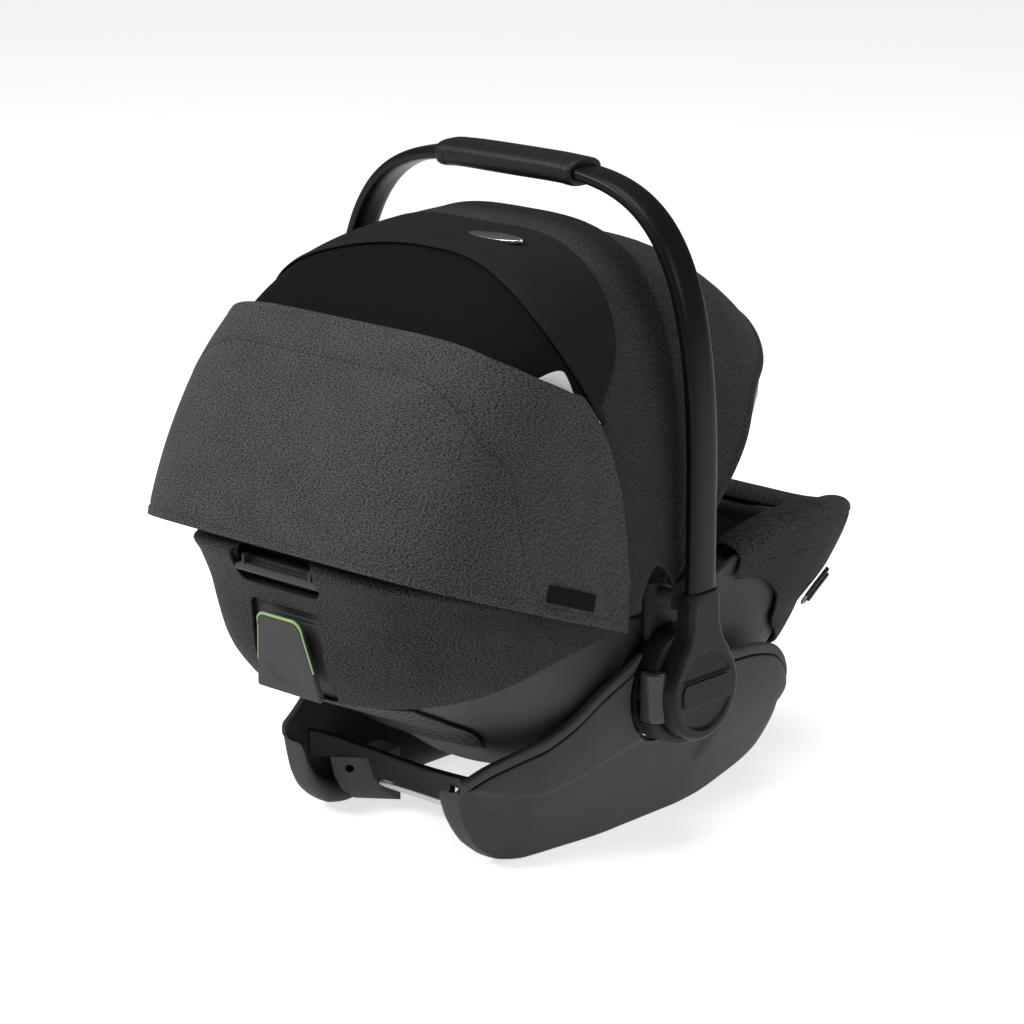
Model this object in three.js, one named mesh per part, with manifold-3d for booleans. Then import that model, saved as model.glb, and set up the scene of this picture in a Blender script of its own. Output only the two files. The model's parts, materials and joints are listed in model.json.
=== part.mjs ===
// Infant car seat with a rocking base, a turning carry handle and a three-part canopy.
// Millimetres. +Z is up, -Y is the foot end, +Y the head end, -X the left side.
// The finished group stands with the middle of its bounding box on the Z axis and its base on Z = 0.

import * as THREE from 'three';
import Module from 'manifold-3d';
import { mergeVertices } from 'three/addons/utils/BufferGeometryUtils.js';

const wasm = await Module();
wasm.setup();

// ---------------------------------------------------------------- driving dimensions

const CLEAR = 0.3; // gap between pieces that touch

const HUB_Z = 149; // height of the handle's pivot axis, which crosses Y = 0
const HUB_RADIUS = 53; // handle hub
const HUB_INNER = 178.5; // inner face of the handle hub, from the middle of the seat
const HUB_OUTER = 204; // outer face of the handle hub
const BUTTON_PROUD = 2.5; // how far the button stands beyond the hub's rim
const BOSS_RADIUS = 40; // fixed boss that the hub turns against
const BOSS_INNER = 170; // inner face of the boss
const PIN_RADIUS = 9; // handle pivot pin
const PIN_HEAD_RADIUS = 13;

const HANDLE_HALF_WIDTH = 213.5; // middle of an upright to the middle of the seat
const HANDLE_TOP = 588; // height of the middle of the grip
const HANDLE_STRAIGHT = 330; // height at which an upright starts to bend in
const HANDLE_FLAT = 40; // half length of the straight top
const HANDLE_DEPTH = 34; // section, along Y
const HANDLE_THICK = 13; // section, across
const HANDLE_FOOT = 206; // lower end of the arch, inside the end fitting
const END_RADIUS = 45; // round of the end fitting
const END_OUTER = 222; // outer face of the end fitting
const END_NECK_TOP = 238; // top of the neck that holds the arch
const END_NECK_DEPTH = 39; // neck, along Y
const GRIP_HALF = 80; // half length of the grip cover
const GRIP_DEPTH = 44;
const GRIP_THICK = 24;

const CANOPY_PIVOT = new THREE.Vector2(10, 228); // Y and Z of the canopy's axis
const FLAP_RADIUS = 322; // canopy back, from the axis to its top edge
const FLAP_HEM_RADIUS = 317; // canopy back, at the hem
const FLAP_WIDTH = 200; // half width at the top edge
const FLAP_HEM_WIDTH = 204; // half width at the hem
const CANOPY_WALL = 2.5; // thickness of a canopy section
const HOOD_STEP = 7; // how far the hood stands inside the canopy back
const VISOR_STEP = 13; // how far the visor stands inside the hood
const FLAP_TOP_ANGLE = 36; // from upright, towards the head end
const HEM_HEIGHT = 186; // height of the hem's plane at Y = 0
const HEM_SLOPE = 0.374;
const HOOD_FRONT = -4;
const HOOD_REAR = 38.5;
const VISOR_FRONT = -46;
const VISOR_REAR = 2;
const CANOPY_PIN = 9; // radius of the canopy's pivot pins

const SHELL_WALL = 5;
const SHELL_FLOOR = 58; // height of the underside of the shell
const COVER_GAP = 3; // shell to its fabric cover
const COVER_WALL = 3;
const LINER_GAP = 2.5;
const LINER_WALL = 17;
const PAD_GAP = 3;
const PAD_WALL = 14;
const LINER_TOP = 0.96; // rim of the liner, as a share of the shell's height
const PAD_TOP = 0.98;
const ROUND = 24; // steps round the shell
const ROUND_STEP = 360 / ROUND; // degrees

const BASE_WALL = 5;
const BASE_BAR = 24; // width of a runner where it stands on the floor
const BASE_BAR_HEIGHT = 20;
const SIDE_COVER_WALL = 3;

// Base outline, right side, by Y: height of the keel and the lip, and their distances from the middle.
const KEEL_Z = [[-232, 48], [-224, 33], [-205, 19], [-150, 6], [-100, 0], [115, 0], [145, 5], [170, 22],
  [184, 44], [192, 70]];
const KEEL_X = [[-232, 110], [-200, 116], [-120, 124], [-60, 130], [20, 130], [90, 122], [140, 114],
  [192, 106]];
const LIP_Z = [[-232, 62], [-205, 86], [-190, 106], [-170, 130], [-143, 149], [-106, 158], [-72, 161],
  [-38, 178], [0, 192], [38, 188], [60, 175], [83, 159], [101, 138], [124, 119], [139, 109], [170, 97],
  [192, 88]];
const LIP_X = [[-232, 114], [-200, 148], [-180, 166], [-150, 178], [-106, 184], [0, 187], [38, 185],
  [60, 180], [83, 172], [101, 160], [124, 145], [139, 130], [170, 115], [192, 109]];
const SKIRT_Z = [[-184, 88], [-160, 76], [-118, 62], [-75, 55], [0, 48], [120, 45], [160, 55], [182, 78]];

// Shell outline by height: half width, reach to the head end, reach to the foot end, squareness.
const SHELL_HALF = [[58, 84], [72, 116], [95, 144], [125, 158], [160, 165], [205, 166], [240, 171],
  [300, 176]];
const SHELL_REAR = [[58, 84], [72, 102], [93, 135], [117, 165], [140, 214], [168, 266], [207, 282],
  [240, 284], [270, 293], [288, 302], [300, 297]];
const SHELL_FRONT = [[58, 170], [72, 212], [90, 246], [105, 276], [131, 312], [165, 336], [200, 342],
  [260, 338]];
const SHELL_SQUARE = [[58, 2.3], [150, 2.3], [190, 2.8], [230, 3.2], [300, 3.6]];
// Height of the shell's rim, by Y.
const RIM_Z = [[-342, 214], [-311, 235], [-272, 246], [-219, 255], [-175, 253], [-117, 240], [-60, 218],
  [0, 205], [60, 213], [120, 233], [200, 262], [260, 284], [300, 297]];

// ---------------------------------------------------------------- looks

const LOOKS = {
  fabric: { color: 0x3b3b3c, roughness: 0.95, metalness: 0 },
  dark_fabric: { color: 0x1e1e1f, roughness: 0.95, metalness: 0 },
  mesh_cloth: { color: 0x161617, roughness: 0.85, metalness: 0 },
  lining: { color: 0x2c2c2e, roughness: 0.95, metalness: 0 },
  shell_plastic: { color: 0x1c1c1d, roughness: 0.5, metalness: 0 },
  base_plastic: { color: 0x232324, roughness: 0.45, metalness: 0 },
  handle_metal: { color: 0x1a1a1b, roughness: 0.38, metalness: 0.2 },
  leather: { color: 0x141414, roughness: 0.55, metalness: 0 },
  button_grey: { color: 0x5a5b5d, roughness: 0.4, metalness: 0 },
  steel: { color: 0x9a9c9e, roughness: 0.3, metalness: 1 },
  foam: { color: 0x47484a, roughness: 0.9, metalness: 0 },
  webbing: { color: 0x252526, roughness: 0.85, metalness: 0 },
  buckle_red: { color: 0xb3261e, roughness: 0.4, metalness: 0 },
};

const seat = new THREE.Group();

function addPart(name, geometry, look) {
  const mesh = new THREE.Mesh(closed(geometry), new THREE.MeshStandardMaterial(LOOKS[look]));
  mesh.name = name;
  seat.add(mesh);
}

// ---------------------------------------------------------------- curves

const radians = (degrees) => THREE.MathUtils.degToRad(degrees);
const mix = (a, b, t) => a + (b - a) * t;

// Smooth curve through a table of [position, value] that never overshoots between two entries.
function along(table, at) {
  const last = table.length - 1;
  const x = Math.min(Math.max(at, table[0][0]), table[last][0]);
  let i = 0;
  while (i < last - 1 && x > table[i + 1][0]) i += 1;
  const slope = (k) => (table[k + 1][1] - table[k][1]) / (table[k + 1][0] - table[k][0]);
  const tangent = (k) => {
    if (k === 0) return slope(0);
    if (k === last) return slope(last - 1);
    const before = slope(k - 1);
    const after = slope(k);
    return before * after <= 0 ? 0 : (2 * before * after) / (before + after);
  };
  const width = table[i + 1][0] - table[i][0];
  const t = (x - table[i][0]) / width;
  const hermite = (2 * t ** 3 - 3 * t ** 2 + 1) * table[i][1] + (3 * t ** 2 - 2 * t ** 3) * table[i + 1][1];
  return hermite + width * ((t ** 3 - 2 * t ** 2 + t) * tangent(i) + (t ** 3 - t ** 2) * tangent(i + 1));
}

const steps = (count) => Array.from({ length: count + 1 }, (_, i) => i / count);
const power = (value, exponent) => Math.sign(value) * Math.abs(value) ** exponent;

// ---------------------------------------------------------------- solids

// Merges shared corners, drops slivers and turns every face outward.
function closed(geometry) {
  const bare = new THREE.BufferGeometry();
  bare.setAttribute('position', geometry.getAttribute('position').clone());
  if (geometry.index) bare.setIndex(geometry.index.clone());
  const merged = mergeVertices(bare, 1e-3);
  const position = merged.getAttribute('position');
  const corner = (i) => new THREE.Vector3().fromBufferAttribute(position, i);
  const index = merged.index.array;
  const kept = [];
  let volume = 0;
  for (let i = 0; i < index.length; i += 3) {
    const [a, b, c] = [index[i], index[i + 1], index[i + 2]];
    if (a !== b && b !== c && c !== a) {
      kept.push(a, b, c);
      volume += corner(a).dot(corner(b).cross(corner(c)));
    }
  }
  if (volume < 0) kept.reverse();
  merged.setIndex(kept);
  return merged;
}

function asManifold(geometry) {
  const ready = closed(geometry);
  return new wasm.Manifold(new wasm.Mesh({
    numProp: 3,
    vertProperties: new Float32Array(ready.getAttribute('position').array),
    triVerts: new Uint32Array(ready.index.array),
  }));
}

function asGeometry(manifold) {
  const mesh = manifold.getMesh();
  const geometry = new THREE.BufferGeometry();
  geometry.setAttribute('position', new THREE.BufferAttribute(new Float32Array(mesh.vertProperties), 3));
  geometry.setIndex(Array.from(mesh.triVerts));
  return closed(geometry);
}

function cut(geometry, ...tools) {
  return asGeometry(tools.reduce((solid, tool) => solid.subtract(asManifold(tool)), asManifold(geometry)));
}

function join(geometry, ...others) {
  return asGeometry(others.reduce((solid, other) => solid.add(asManifold(other)), asManifold(geometry)));
}

function common(geometry, other) {
  return asGeometry(asManifold(geometry).intersect(asManifold(other)));
}

const mirrored = (geometry) => closed(geometry.clone().scale(-1, 1, 1));

function addPair(name, rightGeometry, look) {
  addPart(`${name}_left`, mirrored(rightGeometry), look);
  addPart(`${name}_right`, rightGeometry, look);
}

function fromTriangles(points, faces) {
  const geometry = new THREE.BufferGeometry();
  const flat = points.flatMap((p) => [p.x, p.y, p.z]);
  geometry.setAttribute('position', new THREE.Float32BufferAttribute(flat, 3));
  geometry.setIndex(faces.flat());
  return closed(geometry);
}

// Solid through a row of closed rings with the same number of points; capAxes are the two axes of an end cap.
function throughRings(rings, capAxes) {
  const count = rings[0].length;
  const faces = [];
  for (let r = 0; r < rings.length - 1; r += 1) {
    for (let i = 0; i < count; i += 1) {
      const a = r * count + i;
      const b = r * count + ((i + 1) % count);
      faces.push([a, b, b + count], [a, b + count, a + count]);
    }
  }
  // An end cap runs against the walls' own direction at the start and with it at the end.
  const cap = (ring, start, reversed) => {
    const outline = ring.map((p) => new THREE.Vector2(p[capAxes[0]], p[capAxes[1]]));
    const order = outline.map((_, i) => i);
    if (THREE.ShapeUtils.isClockWise(outline)) order.reverse();
    const forward = order[0] === 0;
    const inOrder = order.map((i) => outline[i]);
    for (const triangle of THREE.ShapeUtils.triangulateShape(inOrder, [])) {
      const [a, b, c] = triangle.map((i) => start + order[i]);
      faces.push(forward === reversed ? [a, c, b] : [a, b, c]);
    }
  };
  cap(rings[0], 0, true);
  cap(rings[rings.length - 1], (rings.length - 1) * count, false);
  return fromTriangles(rings.flat(), faces);
}

// Thick sheet between two surfaces, each a function of (u, v) from 0 to 1.
function sheet(outer, inner, across, down) {
  const points = [];
  for (const surface of [outer, inner]) {
    for (const v of steps(down)) {
      for (const u of steps(across)) points.push(surface(u, v));
    }
  }
  const row = across + 1;
  const layer = row * (down + 1);
  const at = (i, j, side) => side * layer + j * row + i;
  const faces = [];
  const quad = (a, b, c, d) => faces.push([a, b, c], [a, c, d]);
  for (let j = 0; j < down; j += 1) {
    for (let i = 0; i < across; i += 1) {
      quad(at(i, j, 0), at(i + 1, j, 0), at(i + 1, j + 1, 0), at(i, j + 1, 0));
      quad(at(i, j, 1), at(i, j + 1, 1), at(i + 1, j + 1, 1), at(i + 1, j, 1));
    }
  }
  for (let i = 0; i < across; i += 1) {
    quad(at(i, 0, 0), at(i, 0, 1), at(i + 1, 0, 1), at(i + 1, 0, 0));
    quad(at(i, down, 0), at(i + 1, down, 0), at(i + 1, down, 1), at(i, down, 1));
  }
  for (let j = 0; j < down; j += 1) {
    quad(at(0, j, 0), at(0, j + 1, 0), at(0, j + 1, 1), at(0, j, 1));
    quad(at(across, j, 0), at(across, j, 1), at(across, j + 1, 1), at(across, j + 1, 0));
  }
  return fromTriangles(points, faces);
}

// Rod along X between two places.
function rodX(radius, from, to, y, z, sides = 24) {
  const rod = new THREE.CylinderGeometry(radius, radius, Math.abs(to - from), sides);
  return rod.rotateZ(Math.PI / 2).translate((from + to) / 2, y, z);
}

// Disc along X with rounded rims.
function discX(radius, from, to, y, z, rim, sides = 28) {
  const length = to - from;
  const profile = [[0, 0], [radius - rim, 0], [radius, rim], [radius, length - rim], [radius - rim, length],
    [0, length]];
  const disc = new THREE.LatheGeometry(profile.map(([r, h]) => new THREE.Vector2(r, h)), sides);
  return disc.rotateZ(-Math.PI / 2).translate(from, y, z);
}

function box(x0, x1, y0, y1, z0, z1) {
  const block = new THREE.BoxGeometry(x1 - x0, y1 - y0, z1 - z0);
  return block.translate((x0 + x1) / 2, (y0 + y1) / 2, (z0 + z1) / 2);
}

// Block with rounded corners in its first two sizes and a small chamfer on its faces.
function pillow(width, height, depth, corner, chamfer) {
  const shape = new THREE.Shape();
  const [w, h] = [width / 2 - chamfer, height / 2 - chamfer];
  const r = Math.min(corner, w, h);
  shape.moveTo(-w + r, -h);
  shape.lineTo(w - r, -h);
  shape.absarc(w - r, -h + r, r, -Math.PI / 2, 0);
  shape.lineTo(w, h - r);
  shape.absarc(w - r, h - r, r, 0, Math.PI / 2);
  shape.lineTo(-w + r, h);
  shape.absarc(-w + r, h - r, r, Math.PI / 2, Math.PI);
  shape.lineTo(-w, -h + r);
  shape.absarc(-w + r, -h + r, r, Math.PI, Math.PI * 1.5);
  const block = new THREE.ExtrudeGeometry(shape, {
    depth: depth - 2 * chamfer, curveSegments: 2, bevelEnabled: chamfer > 0,
    bevelSize: chamfer, bevelThickness: chamfer, bevelSegments: 1,
  });
  return block.translate(0, 0, chamfer - depth / 2);
}

// Flat strip of one width and thickness along a line of points; the width lies along X.
function strip(points, width, thickness) {
  const curve = new THREE.CatmullRomCurve3(points);
  const rings = steps(points.length * 2).map((t) => {
    const middle = curve.getPointAt(t);
    const side = new THREE.Vector3(1, 0, 0);
    const normal = curve.getTangentAt(t).cross(side).normalize();
    return [[-1, -1], [1, -1], [1, 1], [-1, 1]].map(([a, b]) => middle.clone()
      .addScaledVector(side, (a * width) / 2)
      .addScaledVector(normal, (b * thickness) / 2));
  });
  return throughRings(rings, ['x', 'z']);
}

// ---------------------------------------------------------------- shell and soft bucket

// Point on the bucket: turn goes round from +X towards the head end, rise from the floor (0) to the rim (1),
// inset moves it inward from the shell's outer face.
function bucketPoint(turn, rise, inset) {
  const angle = radians(turn);
  const [c, s] = [Math.cos(angle), Math.sin(angle)];
  const reach = s >= 0 ? SHELL_REAR : SHELL_FRONT;
  const outline = (z) => {
    const exponent = 2 / along(SHELL_SQUARE, z);
    const long = along(reach, z) - inset;
    return [power(c, exponent) * (along(SHELL_HALF, z) - inset), power(s, exponent) * long];
  };
  const rim = along(RIM_Z, outline(250)[1] + Math.sign(s) * inset);
  const z = mix(SHELL_FLOOR, rim, rise);
  const [x, y] = outline(z);
  return new THREE.Vector3(x, y, z + inset * (1 - rise));
}

const LEVELS = [0, 0.07, 0.18, 0.32, 0.46, 0.66, 0.84, 1];

// Open bucket between two insets from the shell's outer face, up to a share of the shell's height.
function bucket(outerInset, innerInset, top = 1) {
  const ring = (rise, inset) => Array.from({ length: ROUND }, (_, i) => (
    bucketPoint(i * ROUND_STEP, Math.min(rise, top), inset)));
  const rings = LEVELS.map((rise) => ring(rise, outerInset));
  rings.push(...LEVELS.slice().reverse().map((rise) => ring(rise, innerInset)));
  return throughRings(rings, ['x', 'y']);
}

// Piece of cover that lies outside the shell between two turns and two rises.
function shellPatch(turns, rises, gap, wall, across, down) {
  const surface = (inset) => (u, v) => {
    const turn = mix(turns[0], turns[1], u);
    return bucketPoint(turn, mix(rises[0](turn), rises[1](turn), v), inset);
  };
  return sheet(surface(-gap - wall), surface(-gap), across, down);
}

// ---------------------------------------------------------------- canopy surfaces

const squareness = (angle) => mix(3.2, 4, THREE.MathUtils.smoothstep(angle, 0, FLAP_TOP_ANGLE));

// Point on a canopy section: side runs from -1 (left pivot) over the top (0) to 1 (right pivot).
function canopyPoint(side, angle, radius, halfWidth) {
  const bend = (side * Math.PI) / 2;
  const exponent = 2 / squareness(angle);
  const out = radius * Math.abs(Math.cos(bend)) ** exponent;
  const turn = radians(angle);
  return new THREE.Vector3(
    halfWidth * power(Math.sin(bend), exponent),
    CANOPY_PIVOT.x + out * Math.sin(turn),
    CANOPY_PIVOT.y + out * Math.cos(turn),
  );
}

// Share of the way from the canopy back's top edge (0) to the part above the hem (1).
const flapShare = (angle) => THREE.MathUtils.smoothstep(angle, FLAP_TOP_ANGLE, 76);
const flapRadius = (angle) => mix(FLAP_RADIUS, FLAP_HEM_RADIUS, flapShare(angle));
const flapWidth = (angle) => mix(FLAP_WIDTH, FLAP_HEM_WIDTH, flapShare(angle));
const hoodRadius = (angle) => FLAP_HEM_RADIUS + 1 - HOOD_STEP + CANOPY_WALL
  + mix(3, 0, (angle - HOOD_FRONT) / (HOOD_REAR - HOOD_FRONT));
const hoodWidth = () => FLAP_WIDTH - HOOD_STEP;
const visorRadius = () => hoodRadius(HOOD_REAR) - VISOR_STEP + CANOPY_WALL;
const visorWidth = () => hoodWidth() - HOOD_STEP - 1;

// Section of canopy between two edges, each an angle that may change from the top of the arch to the pivot.
function canopySection(radius, width, front, rear, across, down, reach = 1, lift = 0, wall = CANOPY_WALL) {
  const surface = (depth) => (u, v) => {
    const side = mix(-reach, reach, u);
    const angle = mix(front(Math.abs(side)), rear(Math.abs(side)), v);
    return canopyPoint(side, angle, radius(angle) + lift - depth, width(angle) + lift - depth);
  };
  return sheet(surface(0), surface(wall), across, down);
}

const same = (value) => () => value;
const hoodRear = (side) => mix(HOOD_REAR, 95, THREE.MathUtils.smoothstep(side, 0.87, 0.95));
const flapFront = (side) => mix(
  mix(FLAP_TOP_ANGLE, 26, THREE.MathUtils.smoothstep(side, 0.45, 0.72)),
  90,
  THREE.MathUtils.smoothstep(side, 0.84, 0.95),
);

// Angle at which the canopy back meets the hem's sloping plane, found by halving.
function hemAngle(side) {
  let [low, high] = [40, 140];
  for (let i = 0; i < 30; i += 1) {
    const middle = (low + high) / 2;
    const point = canopyPoint(side, middle, flapRadius(middle), flapWidth(middle));
    if (point.z > HEM_HEIGHT + HEM_SLOPE * point.y) low = middle;
    else high = middle;
  }
  return low;
}

// ---------------------------------------------------------------- shell, liner, pad and covers

const LEVER_BOTTOM = new THREE.Vector2(282, 168); // Y and Z of the release lever's lower edge
const LEVER_HEIGHT = 72;
const LEVER_TOP_WIDTH = 52;
const LEVER_BOTTOM_WIDTH = 77;
const LEVER_THICK = 6;
const LEVER_TILT = 10; // lean towards the head end, degrees
const HOUSING_MARGIN = 7; // housing beyond the lever, all round
const HOUSING_DEPTH = 3.2;

const SLOT_HALF = 50; // belt slot in the back
const SLOT_LOW = 262;
const SLOT_HIGH = 296;
const SLOT_BAR_RADIUS = 4;

function backWindow(half, low, high, margin) {
  return box(-half - margin, half + margin, 200, 400, low - margin, high + margin);
}

const housingLow = LEVER_BOTTOM.y - HOUSING_MARGIN / 2;
const housingHigh = LEVER_BOTTOM.y + LEVER_HEIGHT + HOUSING_MARGIN;
const housingHalf = LEVER_BOTTOM_WIDTH / 2 + HOUSING_MARGIN / 2;
const housingWindow = (margin) => backWindow(housingHalf, housingLow, housingHigh, margin);
const slotWindow = (margin) => backWindow(SLOT_HALF, SLOT_LOW, SLOT_HIGH, margin);

addPart('seat_shell', cut(bucket(0, SHELL_WALL), housingWindow(0), slotWindow(0)), 'shell_plastic');
addPart('foam_liner', bucket(SHELL_WALL + LINER_GAP, SHELL_WALL + LINER_GAP + LINER_WALL, LINER_TOP), 'foam');

const padOuter = SHELL_WALL + LINER_GAP + LINER_WALL + PAD_GAP;
addPart('seat_pad', bucket(padOuter, padOuter + PAD_WALL, PAD_TOP), 'lining');

const coverLow = (turn) => 0.46 + 0.44 * (Math.abs(turn - 90) / 82) ** 3;
const coverSides = shellPatch([8, 172], [coverLow, same(1)], COVER_GAP, COVER_WALL, 20, 4);
addPart('shell_cover', cut(coverSides, housingWindow(-CLEAR), slotWindow(-CLEAR)), 'fabric');

const footLow = (turn) => 0.24 + 0.5 * (Math.abs(turn - 270) / 76) ** 3;
addPart('foot_cover', shellPatch([189, 351], [footLow, same(1)], COVER_GAP, COVER_WALL, 20, 4), 'fabric');

// ---------------------------------------------------------------- vent panel

const VENT_STEPS = 4; // steps of the shell's ring that the panel spans
const VENT_WALL = 2;
const VENT_COLUMNS = 7;
const VENT_ROWS = 3;
const VENT_PITCH = 16; // across
const VENT_ROW_PITCH = 11; // up the slope
const VENT_SIZE = [6, 2.4];

function ventPanel() {
  const panelRises = LEVELS.slice(2, 5);
  const surface = (inset) => (u, v) => bucketPoint(
    90 + (u - 0.5) * VENT_STEPS * ROUND_STEP,
    panelRises[Math.round(v * (panelRises.length - 1))],
    inset,
  );
  const panel = sheet(surface(-CLEAR - VENT_WALL), surface(-CLEAR), VENT_STEPS,
    panelRises.length - 1);
  const holes = [];
  for (let column = 0; column < VENT_COLUMNS; column += 1) {
    const x = (column - (VENT_COLUMNS - 1) / 2) * VENT_PITCH;
    const rows = VENT_ROWS - Math.floor(Math.abs(x) / 30);
    for (let row = 0; row < rows; row += 1) {
      const z = 100 + (row + Math.abs(x) / 40) * VENT_ROW_PITCH;
      holes.push(box(x - VENT_SIZE[0] / 2, x + VENT_SIZE[0] / 2, 60, 300, z, z + VENT_SIZE[1]));
    }
  }
  return cut(panel, ...holes);
}
addPart('vent_panel', ventPanel(), 'shell_plastic');

// ---------------------------------------------------------------- belt slot bar and release lever

const slotMiddle = (SLOT_LOW + SLOT_HIGH) / 2;
const slotFace = bucketPoint(90, slotMiddle / along(RIM_Z, 300), 0).y;
const slotBar = rodX(SLOT_BAR_RADIUS, -SLOT_HALF + CLEAR, SLOT_HALF - CLEAR, slotFace - 1, slotMiddle - 4,
  16);
addPart('belt_slot_bar', slotBar, 'shell_plastic');

function leverPlate() {
  const [bottom, top] = [LEVER_BOTTOM_WIDTH / 2, LEVER_TOP_WIDTH / 2];
  const shape = new THREE.Shape();
  const high = LEVER_HEIGHT;
  const round = 9;
  shape.moveTo(-bottom, 0);
  shape.lineTo(bottom, 0);
  shape.lineTo(top, high - round);
  shape.absarc(top - round, high - round, round, 0, Math.PI / 2);
  shape.lineTo(-top + round, high);
  shape.absarc(-top + round, high - round, round, Math.PI / 2, Math.PI);
  shape.lineTo(-bottom, 0);
  const plate = new THREE.ExtrudeGeometry(shape,
    { depth: LEVER_THICK, bevelEnabled: false, curveSegments: 5 });
  plate.rotateX(Math.PI / 2).scale(1, -1, 1);
  return closed(plate);
}

function onLever(geometry) {
  const placed = closed(geometry.clone());
  placed.rotateX(radians(-LEVER_TILT)).translate(0, LEVER_BOTTOM.x, LEVER_BOTTOM.y);
  return closed(placed);
}

addPart('release_lever', onLever(leverPlate()), 'shell_plastic');
function releaseHousing() {
  const surface = (inset) => (u, v) => bucketPoint(mix(50, 130, u), mix(0.3, 1, v), inset);
  const plate = common(sheet(surface(HOUSING_DEPTH - 3), surface(HOUSING_DEPTH), 8, 6),
    housingWindow(-CLEAR));
  const ribs = [0, 1, 2].map((i) => {
    const z = housingHigh - 4 - i * 5;
    return common(box(-housingHalf + 4, housingHalf - 4, 200, 400, z, z + 2),
      sheet(surface(-1), surface(3), 8, 6));
  });
  return join(plate, ...ribs);
}
addPart('release_housing', releaseHousing(), 'shell_plastic');

// ---------------------------------------------------------------- base

const basePoint = (y, share, depth) => {
  const [low, high] = [along(KEEL_Z, y), along(LIP_Z, y)];
  const [near, far] = [along(KEEL_X, y), along(LIP_X, y)];
  return new THREE.Vector3(mix(near, far, Math.sin((share * Math.PI) / 2)) - depth, y, mix(low, high, share));
};

const BASE_STATIONS = [-231, -222, -205, -185, -165, -143, -120, -95, -72, -40, 0, 38, 60, 83, 101, 124,
  145, 165, 180, 191];

function runner() {
  const rings = BASE_STATIONS.map((y) => {
    const low = along(KEEL_Z, y);
    const high = along(LIP_Z, y);
    const bar = Math.min(BASE_BAR_HEIGHT, (high - low) * 0.4) / (high - low);
    const outer = [0, 0.15, 0.4, 0.7, 1].map((share) => basePoint(y, share, 0));
    const inner = [1, 0.7].map((share) => basePoint(y, share, BASE_WALL));
    inner.push(basePoint(y, Math.max(0.3, bar), BASE_WALL + 1));
    const inside = basePoint(y, 0, BASE_BAR);
    const shelf = inside.clone().setZ(mix(low, high, bar));
    return [...outer, ...inner, shelf, inside];
  });
  const hub = rodX(HUB_RADIUS + SIDE_COVER_WALL + 1.5, 120, 240, 0, HUB_Z, 32);
  return cut(throughRings(rings, ['x', 'z']), hub);
}
addPair('runner', runner(), 'base_plastic');

function sideCover() {
  const surface = (depth) => (u, v) => {
    const y = mix(-183, 181, u);
    const [low, high] = [along(KEEL_Z, y), along(LIP_Z, y)];
    const start = (along(SKIRT_Z, y) - low) / (high - low);
    return basePoint(y, mix(start, 0.995, v), depth);
  };
  const skin = sheet(surface(-CLEAR - 1.2 - SIDE_COVER_WALL), surface(-CLEAR - 1.2), 18, 4);
  return cut(skin, rodX(HUB_RADIUS + BUTTON_PROUD + 0.8, 120, 240, 0, HUB_Z, 32));
}
addPair('side_cover', sideCover(), 'base_plastic');

const CAP_INNER = 56; // inner side of a runner's rear end, from the middle
const CAP_SWEEP = 39; // how far that inner side stands ahead of the rear corner
const CAP_FRONT = 96;
const CAP_TOP = 56;
const CAP_TILT = Math.atan2(CAP_SWEEP, 109 - CAP_INNER);

function rearCap() {
  const ends = [[140, 5], [163, 20], [174, 36], [181, CAP_TOP]];
  const rings = ends.map(([end, z]) => {
    const out = along(KEEL_X, end) - BASE_BAR - CLEAR;
    const corner = out - CAP_INNER;
    const back = end - 4 - (109 - out) * Math.tan(CAP_TILT);
    return [[out, CAP_FRONT], [out, back], [CAP_INNER, back - corner * Math.tan(CAP_TILT)],
      [CAP_INNER, CAP_FRONT]]
      .map(([x, y]) => new THREE.Vector3(x, y, z));
  });
  return throughRings(rings, ['x', 'y']);
}

function alongCapNormal(geometry) {
  return geometry.rotateX(Math.PI / 2).rotateZ(CAP_TILT).translate(74, 142, 44);
}
const screwHole = alongCapNormal(new THREE.CylinderGeometry(4.2, 4.2, 50, 16).rotateX(Math.PI / 2));
addPair('rear_cap', cut(rearCap(), screwHole), 'base_plastic');
// Band along a level curve, upright on edge.
function band(points, wall, height, floor, count) {
  const curve = new THREE.CatmullRomCurve3(points.map(([x, y, z]) => new THREE.Vector3(x, y, z)));
  const rings = steps(count).map((t) => {
    const p = curve.getPointAt(t);
    const tangent = curve.getTangentAt(t);
    const side = new THREE.Vector3(-tangent.y, tangent.x, 0).normalize().multiplyScalar(wall / 2);
    const down = new THREE.Vector3(0, 0, -Math.min(height, p.z - floor(Math.abs(p.x))));
    return [p.clone().add(side), p.clone().sub(side), p.clone().sub(side).add(down),
      p.clone().add(side).add(down)];
  });
  return throughRings(rings, ['y', 'z']);
}
const REAR_BAND = [[-96, 172, 84], [-84, 152, 76], [-60, 136, 66], [0, 128, 60], [60, 136, 66], [84, 152, 76],
  [96, 172, 84]];
const aboveCaps = (x) => (x > CAP_INNER - 10 ? CAP_TOP + CLEAR : 0);
addPart('rear_crossmember', band(REAR_BAND, 8, 24, aboveCaps, 20), 'base_plastic');

const DOCK_RADIUS = 5; // steel bars that a car base or a pushchair takes hold of
const DOCK_REAR = [120, 30];
const DOCK_FRONT = [-120, 30];
const dockHalf = along(KEEL_X, DOCK_FRONT[0]) - BASE_BAR - 1;
addPart('dock_bar_rear', rodX(DOCK_RADIUS, -CAP_INNER + CLEAR, CAP_INNER - CLEAR, ...DOCK_REAR, 16), 'steel');
addPart('dock_bar_front', rodX(DOCK_RADIUS, -dockHalf, dockHalf, ...DOCK_FRONT, 16), 'steel');

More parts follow.
